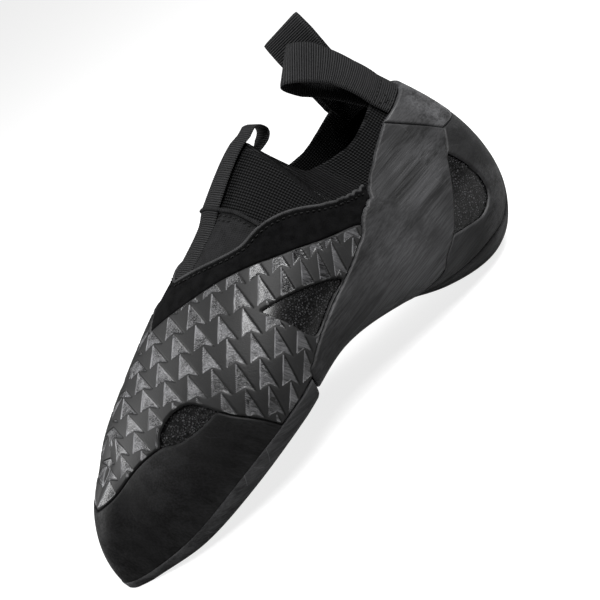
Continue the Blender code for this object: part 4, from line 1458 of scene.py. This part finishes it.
    def heel(self, material: bpy.types.Material, top: bpy.types.Material) -> None:
        """Makes the strip under and behind the heel, and the band over its top.

        Args:
            material: the strip's finish.
            top: the band's finish.
        """
        edge, centre = line(STRIP_EDGE), line(HEEL_CENTRE)
        front = np.array([HEEL_CENTRE[0], STRIP_EDGE[0]])
        back = np.array([STRIP_EDGE[-1], HEEL_CENTRE[-1]])
        skin = Skin(self.last, "heel_strip_rubber", self.thickness, edges=[edge, front, back], floor=0.0)
        dress(skin.build([between((centre,), (edge,), side, (230,), 50) for side in Side]), material,
              ["heel_strip"])
        low, high = line(HEEL_TOP_LOW), line(HEEL_TOP_HIGH)
        end = np.array([HEEL_TOP_LOW[0], HEEL_TOP_HIGH[0]])
        skin = Skin(self.last, "heel_top_rubber", self.thickness + 0.0001, edges=[low, high, end])
        dress(skin.build([between((low,), (high,), side, (110,), 56) for side in Side]), top,
              ["heel_top"])


@dataclass
class Covers:
    """The suede band and the elastic panel on the instep."""

    last: Last
    suede: float = 0.0011
    elastic: float = 0.0009
    roll: float = 0.00045
    trough: float = 0.00030
    roll_place: tuple[float, float] = (0.0011, 0.0008)
    trough_place: tuple[float, float] = (0.0024, 0.0005)

    def suede_band(self, material: bpy.types.Material) -> None:
        """Makes the band with its rolled, stitched top edge.

        Args:
            material: its finish.
        """
        low = joined(line(OVERLAY_TOP), line(SLING_FRONT, 4, 3))
        high = line(SUEDE_TOP)
        end = np.array([SLING_FRONT[3], SUEDE_TOP[-1]])

        def relief(place: dict) -> np.ndarray:
            """The roll along the top edge and the stitched trough below it.

            Args:
                place: what is known of each place of the sheet.

            Returns:
                The relief in metres.
            """
            fine = chain(high, 500)
            d = distance_to(self.last.place(place["side"].ring(fine[:, 0]), fine[:, 1]), place["base"])
            (top, top_width), (low_place, low_width) = self.roll_place, self.trough_place
            return (self.roll * np.exp(-((d - top) / top_width) ** 2)
                    - self.trough * np.exp(-((d - low_place) / low_width) ** 2))

        skin = Skin(self.last, "suede_band_cover", self.suede, edges=[low, high, end], relief=relief)
        dress(skin.build([between((low,), (high,), side, (230,), 36) for side in Side]), material,
              ["suede_band"])

    def instep_panel(self, material: bpy.types.Material) -> None:
        """Makes the elastic panel under the front pull loop.

        Args:
            material: its finish.
        """
        low, high = line(SUEDE_TOP, 0, 4), line(PANEL_TOP)
        skin = Skin(self.last, "instep_panel_cover", self.elastic, edges=[low, high], rounding=0.0008)
        dress(skin.build([between((low,), (high,), side, (110,), 60) for side in Side]), material,
              ["instep_panel"])


@dataclass
class Trim:
    """Binding cords and the stitches that hold panels and webbing."""

    last: Last
    thread: float = 0.00034
    stitch: float = 0.0017
    pitch: float = 0.0027
    binding_lift: float = 0.0018
    binding_step: tuple[float, float, float] = (0.0095, 0.0020, 0.0011)
    binding_size: tuple[float, float] = (0.0016, 0.0011)
    panel_rows: tuple[float, float] = (0.0022, 0.0042)
    panel_lift: float = 0.0013
    panel_clear: float = 0.0075
    roll_size: tuple[float, float] = (0.0014, 0.0012)
    suede_row: float = 0.0024
    suede_lift: float = 0.0015
    roll_shift: float = 0.0003
    webbing_lift: float = 0.00168
    patch_levels: tuple[float, float] = (0.897, 0.978)

    def cord(self, name: str, middle: np.ndarray, out: np.ndarray, width: float, height: float,
             material: bpy.types.Material, slot: str) -> None:
        """Makes a rounded cord along a way on the shoe.

        Args:
            name: the piece's name.
            middle: the cord's middle places.
            out: the outward directions there.
            width: its width along the shoe's face.
            height: its height off the face.
            material: its finish.
            slot: not used.
        """
        way = np.gradient(middle, axis=0)
        side = np.cross(way, out)
        side /= np.linalg.norm(side, axis=1, keepdims=True)
        angle = np.linspace(0, 2 * math.pi, 11)
        ends = np.ones((len(middle), 1, 1))
        ends[[0, -1]] = 0.3
        p = (middle[:, None] + side[:, None] * (np.cos(angle) * width / 2)[None, :, None] * ends
             + out[:, None] * (np.sin(angle) * height / 2)[None, :, None] * ends)
        uv = np.stack(np.broadcast_arrays(run_along(middle)[:, None], (angle * width / 3)[None, :]), -1)
        away = p[1, 2] - middle[1]
        piece = grid_object(name, p, uv, not Skin.faces_out(p[:, :3], np.tile(away, (len(p), 3, 1))))
        piece = join_up(name, [piece])
        close_ends()
        bpy.ops.mesh.select_all(action="SELECT")
        bpy.ops.mesh.normals_make_consistent(inside=False)
        bpy.ops.object.mode_set(mode="OBJECT")
        dress(piece, material)

    def stitches(self, name: str, ways: Sequence[tuple[np.ndarray, np.ndarray]],
                 material: bpy.types.Material) -> None:
        """Makes rows of small sunk stitches.

        Args:
            name: the piece's name.
            ways: for each row its places and outward directions.
            material: the thread's finish.
        """
        clean_selection()
        bpy.ops.mesh.primitive_uv_sphere_add(segments=6, ring_count=4, radius=1.0)
        model = bpy.context.object
        ball = np.zeros(len(model.data.vertices) * 3, np.float32)
        model.data.vertices.foreach_get("co", ball)
        ball = ball.reshape(-1, 3)
        parts = []
        for places, outs in ways:
            run = run_along(places)
            for k in range(max(1, int(run[-1] / self.pitch))):
                spots = np.array([k * self.pitch, k * self.pitch + self.stitch])
                if spots[1] > run[-1]:
                    break
                p = np.stack([np.interp(spots, run, places[:, a]) for a in range(3)], -1)
                n = np.array([np.interp(spots.mean(), run, outs[:, a]) for a in range(3)])
                way = p[1] - p[0]
                side = np.cross(n, way)
                side /= np.linalg.norm(side)
                n /= np.linalg.norm(n)
                shape = np.stack([way / 2, side * self.thread, n * self.thread])
                parts.append(p.mean(0) + ball[:, [2, 0, 1]] @ shape)
        faces = len(model.data.polygons)
        bpy.ops.object.mode_set(mode="EDIT")
        bpy.ops.mesh.select_all(action="SELECT")
        doublings = max(0, math.ceil(math.log2(len(parts))))
        for _ in range(doublings):
            bpy.ops.mesh.select_all(action="SELECT")
            bpy.ops.mesh.duplicate()
        bpy.ops.object.mode_set(mode="OBJECT")
        size = len(ball)
        co = np.zeros((len(model.data.vertices), 3), np.float32)
        for k in range(2 ** doublings):
            co[k * size:(k + 1) * size] = parts[min(k, len(parts) - 1)]
        LOG.info("%s: %d stitches of %d faces", name, len(parts), faces)
        model.data.vertices.foreach_set("co", co.ravel())
        spare = np.zeros(len(model.data.vertices), bool)
        spare[len(parts) * size:] = True
        model.data.vertices.foreach_set("select", spare)
        bpy.ops.object.mode_set(mode="EDIT")
        bpy.ops.mesh.delete(type="VERT")
        bpy.ops.mesh.select_all(action="SELECT")
        bpy.ops.mesh.normals_make_consistent(inside=False)
        bpy.ops.mesh.faces_shade_smooth()
        bpy.ops.object.mode_set(mode="OBJECT")
        model.name = name
        model.data.update()
        dress(model, material)

    def along(self, way: Line, side: Side, height: float, shift: float = 0.0,
              count: int = 220) -> tuple[np.ndarray, np.ndarray]:
        """A line of places on one side of the shoe.

        Args:
            way: the line as (share, t).
            side: the side of the shoe.
            height: how high above the last it runs.
            shift: how far it is moved across itself, downwards, in metres.
            count: how many places.

        Returns:
            The places and outward directions.
        """
        fine = chain(way, count)
        ring = side.ring(fine[:, 0])
        n = self.last.normal(ring, fine[:, 1])
        p = self.last.place(ring, fine[:, 1], height)
        step = np.gradient(p, axis=0)
        down = np.cross(step, n)
        down /= np.linalg.norm(down, axis=1, keepdims=True)
        lower = self.last.place(ring, fine[:, 1] - 0.02) - self.last.place(ring, fine[:, 1])
        down *= np.sign((down * lower).sum(1).mean())
        return p + down * shift, n

    def build(self, thread: bpy.types.Material, elastic: bpy.types.Material,
              roll: bpy.types.Material) -> None:
        """Makes the binding over the instep, the rolled cords along the suede band and the rows of stitches
        on the panel and the suede band.
            roll: the rolled edge's finish.
        """
        ways = [self.along(line(PANEL_TOP), side, self.binding_lift) for side in Side]
        (outer, outer_n), (inner, inner_n) = ways
        middle = np.concatenate([outer[::-1], inner[1:]])
        out = np.concatenate([outer_n[::-1], inner_n[1:]])
        far = np.linalg.norm(middle - outer[0], axis=1)
        half, ease, rise = self.binding_step
        middle = middle + out * (np.clip((half - far) / ease, 0, 1) * rise)[:, None]
        self.cord("instep_binding", middle, out, *self.binding_size, elastic, "elastic")
        rows = []
        for shift in self.panel_rows:
            for side in Side:
                p, n = self.along(line(PANEL_TOP), side, self.panel_lift, shift)
                close = np.linalg.norm(p - p[0], axis=1) < self.panel_clear
                rows.append((p[~close], n[~close]))
        self.stitches("instep_stitches", rows, thread)
        top = line(SUEDE_TOP)[:-16]
        for side in Side:
            p, n = self.along(top, side, self.suede_lift, self.roll_shift)
            self.cord("suede_roll_" + side.value, p, n, *self.roll_size, roll, "suede")
        rows = [self.along(top, side, self.suede_lift, self.suede_row) for side in Side]
        self.stitches("suede_stitches", rows, thread)

    def patch(self, name: str, ring: float, width: float, material: bpy.types.Material) -> None:
        """Makes the zigzag and border stitches that hold one heel loop.

        Args:
            name: the piece's name.
            ring: where on the collar the loop is sewn.
            width: the webbing's width.
            material: the thread's finish.
        """
        half = width / 2 / self.last.pace(ring, 0.94)
        low, high = self.patch_levels
        rows = []

        def way(points: Sequence[tuple[float, float]]) -> tuple[np.ndarray, np.ndarray]:
            """Places on the webbing along a broken line of (share of width, t).

            Args:
                points: the broken line.

            Returns:
                The places and outward directions.
            """
            q = np.array(points)
            run = np.r_[0, np.cumsum(np.hypot(np.diff(q[:, 0]), np.diff(q[:, 1]) * 8))]
            fine = np.linspace(0, run[-1], 90)
            r = ring + np.interp(fine, run, q[:, 0]) * half
            t = np.interp(fine, run, q[:, 1])
            return self.last.place(r, t, self.webbing_lift), self.last.normal(r, t)

        for t in (low, high):
            rows.append(way(((-0.86, t), (0.86, t))))
        count = 5
        for lift in (0.0, 0.012):
            rows.append(way([(-0.8 + 1.6 * k / count, (low + 0.014 if k % 2 else high - 0.026) + lift)
                             for k in range(count + 1)]))
        self.stitches(name, rows, material)


@dataclass
class PullLoops:
    """Ribbed webbing loops: one on the instep and two at the heel."""

    last: Last
    webbing: float = 0.0009
    front_width: float = 0.0145
    front_rise: float = 0.0126
    front_drop: float = 0.6
    front_fold: float = 0.43
    front_bend: float = 0.25
    heel_width: float = 0.0200
    heel_length: float = 0.0415
    rib: float = 0.00100
    waist: float = 0.74
    gap: float = 0.00035
    elastic: float = 0.0009
    wall: float = 0.0020
    front_sewn: tuple[float, float] = (0.441, 0.59)
    front_sunk: float = 0.00025
    front_step: tuple[float, float] = (0.515, 0.014)
    front_taper: tuple[float, float] = (0.53, 0.06)
    front_across: tuple[float, float, float] = (0.12, 0.99, 0.0)
    front_inside: tuple[float, ...] = (0.582, 0.572, 0.562)
    heel_sewn: tuple[float, float] = (0.885, 0.995)
    heel_inside: tuple[float, ...] = (0.99, 0.96, 0.93, 0.90, 0.87)

    def sewn_row(self, ring: float, t: float, width: float, lift: float, along_ring: bool,
                 count: int = 13) -> tuple[np.ndarray, np.ndarray]:
        """Places across a webbing that lies on the last, and their outward directions.

        Args:
            ring: the middle of the row.
            t: its height.
            width: the webbing's width.
            lift: its height over the last.
            along_ring: whether the row runs along the ring or over the ridge.
            count: how many places.

        Returns:
            The places and directions.
        """
        if along_ring:
            pace = self.last.pace(ring, t)
            rings, ts = ring + np.linspace(-0.5, 0.5, count) * width / pace, np.full(count, t)
        else:
            fine = np.linspace(1, 0.6, 81)
            rings, ts = [], []
            for h in np.linspace(-1, 1, count):
                r = ring if h < 0 else 2 - ring
                rings.append(r)
                ts.append(np.interp(abs(h) * width / 2, run_along(self.last.point(r, fine)), fine))
            rings, ts = np.array(rings), np.array(ts)
        n = self.last.normal(rings, ts)
        return self.last.place(rings, ts) + n * lift, n

    def free_rows(self, start: np.ndarray, start_way: np.ndarray, end: np.ndarray, end_way: np.ndarray,
                  apex: np.ndarray, spread: np.ndarray, across: np.ndarray, count: int,
                  waist: float = 1.0) -> tuple[list[np.ndarray], list[np.ndarray]]:
        """The free part of a loop, from one sewn row over the apex to the other.

        Args:
            start: the last sewn row.
            start_way: the direction in which the webbing leaves it.
            end: the row where it is sewn again.
            end_way: the direction in which the webbing leaves that one.
            apex: the middle of the fold.
            spread: half of the fold's opening.
            across: the direction of the width at the fold.
            count: how many rows each half has.
            waist: the width at the fold as a share of the sewn width.

        Returns:
            The rows and their face directions.
        """
        middle = len(start) // 2
        first, final = start[middle], end[middle]
        run = np.linalg.norm(apex - first) * 0.55
        halves = ((first, first + start_way * run, apex + spread, apex),
                  (apex, apex - spread, final + end_way * run, final))
        centres = []
        for k, (p, q, r, w) in enumerate(halves):
            for u in np.linspace(0, 1, count + 1)[(0 if k == 0 else 1):]:
                centres.append(bezier(u, p, q, r, w))
        centres = np.array(centres)
        tangents = np.gradient(centres, axis=0)
        total = len(centres) - 1
        width = np.linalg.norm(np.diff(start, axis=0), axis=1).sum()
        rows, normals = [], []
        for k in range(1, total):
            u = k / total
            ends = (start, 1 - u * 2) if u < 0.5 else (end, u * 2 - 1)
            side = ends[0][-1] - ends[0][0]
            side = side / np.linalg.norm(side)
            near_end = ends[1] ** 2
            w = side * near_end + across * (1 - near_end)
            t = tangents[k] / np.linalg.norm(tangents[k])
            w = w - t * np.dot(w, t)
            w /= np.linalg.norm(w)
            keep = float(np.clip((ends[1] - 0.45) / 0.35, 0, 1))
            slim = waist + (1 - waist) * near_end
            flat = np.outer(np.linspace(-0.5, 0.5, len(start)) * width * slim, w)
            rows.append(centres[k] + (ends[0] - ends[0][middle]) * keep * slim + flat * (1 - keep))
            normals.append(np.tile(np.cross(t, w), (len(start), 1)))
        if np.dot(normals[0][middle], np.cross(tangents[1], start[-1] - start[0])) < 0:
            normals = [-n for n in normals]
        return rows, normals

    def ribbed_band(self, name: str, rows: Sequence[np.ndarray], normals: Sequence[np.ndarray],
                    material: bpy.types.Material, node: str) -> None:
        """Makes the webbing from its rows: ribs across it on both faces and thin sides.

        Args:
            name: the piece's name.
            rows: places across the band, one row after another along it.
            normals: the face directions there.
            material: the webbing's finish.
            node: the CAD node that it stands for.
        """
        p, n = np.array(rows), np.array(normals)
        middle = p.shape[1] // 2
        run = run_along(p[:, middle])
        count = int(run[-1] / (self.rib / 8))
        want = np.linspace(0, run[-1], count)
        p, n = (np.stack([np.stack([np.interp(want, run, q[:, j, k]) for k in range(3)], -1)
                          for j in range(q.shape[1])], 1) for q in (p, n))
        n /= np.linalg.norm(n, axis=-1, keepdims=True)
        ridge = np.abs(np.sin(want / self.rib * math.pi))
        half = self.webbing / 2 * (0.62 + 0.38 * ridge)
        cols = p.shape[1]
        edge = np.ones(cols)
        edge[[0, -1]] = 0.45
        far = p + n * half[:, None, None] * edge[None, :, None]
        near = p - n * half[:, None, None] * edge[None, :, None]
        loop = np.concatenate([far, near[:, ::-1], far[:, :1]], axis=1)
        width = np.linalg.norm(np.diff(p[count // 2], axis=0), axis=1).sum()
        place = np.linspace(0, width, cols)
        v = np.r_[place, place[::-1], [0.0]]
        uv = np.stack([np.repeat(want[:, None], len(v), 1), np.repeat(v[None, :], count, 0)], -1)
        flip = not Skin.faces_out(loop[:, :cols], n)
        band = grid_object(name, loop, uv, flip, None, {"rib": np.repeat(ridge[:, None], len(v), 1)})
        band = join_up(name, [band])
        close_ends()
        bpy.ops.object.mode_set(mode="OBJECT")
        dress(band, material, [node])

    def sewn_band(self, name: str, outer: list, free: tuple[list, list], inner: list,
                  material: bpy.types.Material, node: str) -> None:
        """Makes the webbing from its sewn rows outside, its free rows and its sewn rows inside.

        Args:
            name: the piece's name.
            outer: the outside rows, each with its directions.
            free: the free rows and their directions.
            inner: the inside rows, each with its directions.
            material: the webbing's finish.
            node: the CAD node that it stands for.
        """
        rows, normals = free
        middle = len(outer[0][0]) // 2
        if np.dot(normals[0][middle], outer[-1][1][middle]) < 0:
            normals = [-n for n in normals]
        self.ribbed_band(name, [r for r, n in outer] + rows + [r for r, n in inner],
                         [n for r, n in outer] + normals + [-n for r, n in inner], material, node)

    def front(self, material: bpy.types.Material) -> None:
        """Makes the loop that is sewn along the instep and turns over the tongue.

        Args:
            material: its finish.
        """
        gap, elastic, rise = self.gap, self.elastic, self.front_rise
        high = gap + elastic + 2 * gap + self.webbing / 2
        outer = []
        for s in np.linspace(*self.front_sewn, 28):
            up, slimmer = (float(np.clip((s - begin) / length, 0, 1))
                           for begin, length in (self.front_step, self.front_taper))
            lift = gap + elastic - self.front_sunk + (high - gap - elastic + self.front_sunk) * up
            slim = 1.0 - (1 - self.waist) * slimmer
            outer.append(self.sewn_row(s, 1.0, self.front_width * slim, lift, False))
        depth = -self.wall - 7 * gap - self.webbing / 2
        inner = [self.sewn_row(s, 1.0, self.front_width * 0.7, depth, False)
                 for s in self.front_inside]
        middle = len(outer[0][0]) // 2
        way = outer[-1][0][middle] - outer[-2][0][middle]
        way /= np.linalg.norm(way)
        out = outer[-1][1][middle]
        apex = outer[-1][0][middle] + way * rise - out * rise * self.front_drop
        rows, normals = self.free_rows(outer[-1][0], self.unit(way - out * self.front_bend), inner[0][0],
                                       self.unit(way - out * 0.8), apex,
                                       (out * 0.9 - way * 0.1) * rise * self.front_fold,
                                       np.array(self.front_across), 20, 0.94)
        self.sewn_band("front_loop_webbing", outer, (rows, normals), inner, material, "front_pull_loop")

    def heel(self, name: str, node: str, ring: float, lean: Sequence[float], across: Sequence[float],
             opening: float, material: bpy.types.Material) -> None:
        """Makes one wide loop, sewn outside and inside the collar.

        Args:
            name: the piece's name.
            node: the CAD node that it stands for.
            ring: where on the collar it is sewn.
            lean: the way from the collar to its fold, as shares of the loop's length.
            across: the direction of its width at the fold.
            opening: its opening as a share of its length.
            material: the webbing's finish.
        """
        gap = self.gap
        outer = [self.sewn_row(ring, t, self.heel_width, 2 * gap + self.webbing / 2, True)
                 for t in np.linspace(*self.heel_sewn, 12)]
        depth = -self.wall - 3 * gap - self.webbing / 2
        inner = [self.sewn_row(ring, t, self.heel_width * 0.9, depth, True)
                 for t in self.heel_inside]
        middle = len(outer[0][0]) // 2
        first, final = outer[-1][0][middle], inner[0][0][middle]
        reach = np.array(lean) * self.heel_length
        apex = (first + final) / 2 + reach
        across = self.unit(np.array(across)) * np.sign(np.dot(outer[-1][0][-1] - outer[-1][0][0], across))
        out = np.cross(across, reach)
        out *= (-1 if np.dot(out, outer[-1][1][middle]) < 0 else 1) / np.linalg.norm(out)
        climb = first - outer[-2][0][middle]
        start = climb / np.linalg.norm(climb) * 0.6 + reach / np.linalg.norm(reach) * 0.4
        spread = out * opening * self.heel_length
        open_way = out * opening * 1.6
        rows, normals = self.free_rows(outer[-1][0], self.unit(start + open_way), inner[0][0],
                                       self.unit(start - open_way), apex, spread * 0.55, across, 24)
        self.sewn_band(name, outer, (rows, normals), inner, material, node)

    @staticmethod
    def unit(way: np.ndarray) -> np.ndarray:
        """A direction at length one."""
        return way / np.linalg.norm(way)


@dataclass
class Studio:
    """Pale floor, soft lights and the camera at the photograph's angle."""

    turn_deg: float = 25.0
    lift_deg: float = 20.0
    roll_deg: float = 35.0
    distance: float = 0.760
    target: tuple[float, float, float] = (-0.0899, 0.0, 0.040)
    pixels_per_metre: float = 2323.7
    centre: tuple[float, float] = (289.0, 322.3)
    frame_size: float = 600.0
    surround: float = 0.07
    floor_glow: float = 0.80
    lamps: tuple = (("left_window", (-0.66, 0.50, 0.56), 1.0, 0.40, 0.8, 14.0),
                    ("top_box", (0.52, -0.30, 0.80), 1.0, 0.40, 0.40, 12.0),
                    ("front_box", (0.04, -0.60, 0.80), 1.1, 0.34, 0.34, 11.0))

    def camera(self) -> None:
        """Adds the rolled camera, fitted to the photograph."""
        a, e, r = (math.radians(v) for v in (self.turn_deg, self.lift_deg, self.roll_deg))
        back = Vector((-math.sin(a) * math.cos(e), -math.cos(a) * math.cos(e), math.sin(e)))
        right = Vector((math.cos(a), -math.sin(a), 0))
        up = back.cross(right)
        turned_right = right * math.cos(r) - up * math.sin(r)
        turned_up = right * math.sin(r) + up * math.cos(r)
        data = bpy.data.cameras.new("photo_camera")
        data.lens = self.pixels_per_metre * self.distance / self.frame_size * data.sensor_width
        data.shift_x = (self.frame_size / 2 - self.centre[0]) / self.frame_size
        data.shift_y = (self.centre[1] - self.frame_size / 2) / self.frame_size
        data.clip_start = 0.01
        camera = bpy.data.objects.new("photo_camera", data)
        bpy.context.scene.collection.objects.link(camera)
        turn = Matrix((turned_right, turned_up, back)).transposed().to_4x4()
        camera.matrix_world = Matrix.Translation(Vector(self.target) + back * self.distance) @ turn
        bpy.context.scene.camera = camera

    def lights(self) -> None:
        """Adds large soft lights and a pale surround that lights the shoe only faintly."""
        view = bpy.context.scene.view_settings
        view.view_transform = "Standard"
        world = bpy.data.worlds.new("studio")
        bpy.context.scene.world = world
        world.use_nodes = True
        t = Tree(world.node_tree)
        ground = world.node_tree.nodes["Background"]
        ground.inputs["Color"].default_value = (0.93, 0.935, 0.94, 1)
        seen = t.add("LightPath").outputs["Is Camera Ray"]
        strength = t.add("MapRange", {"Value": seen, "To Min": self.surround, "To Max": 0.95}).outputs[0]
        t.fill(ground, {"Strength": strength})
        for name, way, reach, width, height, power in self.lamps:
            data = bpy.data.lights.new(name, "AREA")
            data.shape = "RECTANGLE"
            data.size, data.size_y = width, height
            data.energy = power
            lamp = bpy.data.objects.new(name, data)
            bpy.context.scene.collection.objects.link(lamp)
            place = Vector(self.target) + Vector(way).normalized() * reach
            turn = (Vector(self.target) - place).to_track_quat("-Z", "Y").to_matrix().to_4x4()
            lamp.matrix_world = Matrix.Translation(place) @ turn

    def floor(self) -> None:
        """Adds the pale plain floor."""
        clean_selection()
        bpy.ops.mesh.primitive_plane_add(size=24, location=(0, 0, 0))
        floor = bpy.context.object
        floor.name = "floor"
        mat, t, shader = new_finish("floor")
        seen = t.add("LightPath").outputs["Is Camera Ray"]
        t.fill(shader, {"Base Color": (0.30, 0.30, 0.30, 1), "Roughness": 0.9, "Specular IOR Level": 0.0,
                        "Emission Strength": t.times(seen, self.floor_glow), "Emission Color": (1, 1, 1, 1)})
        floor.data.materials.append(mat)


def main() -> None:
    """Builds the shoe's pieces in order and the studio round them."""
    logging.basicConfig(level=logging.INFO, format="%(name)s: %(message)s")
    last = Last()
    effects = Effects()
    rand = RubberFinish("rand_rubber_finish", 0.0060, 0.52, turn=-0.88, lines=1.0, gloss=0.12).build(effects)
    sling = RubberFinish("sling_rubber_finish", 0.0230, 0.46, turn=0.10, lines=1.0, gloss=0.20).build(effects)
    cup = RubberFinish("cup_rubber_finish", 0.0120, 0.50, turn=0.10, lines=0.8, gloss=0.20).build(effects)
    heel_rubber = RubberFinish("heel_rubber_finish", 0.0360, 0.44,
                               turn=0.10, lines=1.0, gloss=0.28).build(effects)
    sole = RubberFinish("sole_rubber_finish", 0.0270, 0.62,
                        turn=-0.10, lines=0.6, scuffs=0.9, gloss=0.2).build(effects)
    scales = ScaleFinish("scale_rubber_finish", 0.0050, 0.045).build(effects)
    knit = UpperFinish("knit_finish", 0.0052, 0.010).build(effects)
    suede = ClothFinish("suede_finish", 0.0026, 0.97, nap=1.3, gloss=0.02, sheen=0.006).build(effects)
    elastic = ClothFinish("elastic_finish", 0.0065, 0.85,
                          weave=0.8, nap=0.5, gloss=0.05, sheen=0.008).build(effects)
    board = ClothFinish("board_finish", 0.012, 0.9, nap=0.8).build(effects)
    roll = ClothFinish("roll_finish", 0.016, 0.7, nap=0.9, gloss=0.2).build(effects)
    thread = ClothFinish("thread_finish", 0.0022, 0.7, nap=0.4, gloss=0.15).build(effects)
    webbing = WebbingFinish("webbing_finish", 0.0115).build(effects)

    Upper(last).build(knit)
    sole_unit = SoleUnit(last)
    sole_unit.build_outsole(sole)
    sole_unit.build_board(board)
    rubber = Rubber(last)
    rubber.toe_rand(rand)
    rubber.scale_overlay(scales)
    rubber.sling(sling)
    rubber.cups(cup)
    rubber.heel(cup, heel_rubber)
    covers = Covers(last)
    covers.suede_band(suede)
    covers.instep_panel(elastic)
    trim = Trim(last)
    trim.build(thread, elastic, roll)
    trim.patch("outer_heel_stitches", 0.905, 0.020, thread)
    trim.patch("inner_heel_stitches", 1.095, 0.020, thread)
    loops = PullLoops(last)
    loops.front(webbing)
    loops.heel("heel_loop_outer_webbing", "heel_pull_loop_outer", 0.905, (-0.58, 0.29, 0.745),
               (0.82, 0.30, 0.49), 0.24, webbing)
    loops.heel("heel_loop_inner_webbing", "heel_pull_loop_inner", 1.095, (-0.16, 0.10, 0.97),
               (0.76, -0.60, 0.27), 0.15, webbing)

    studio = Studio()
    studio.floor()
    studio.lights()
    studio.camera()


if __name__ == "__main__":
    main()
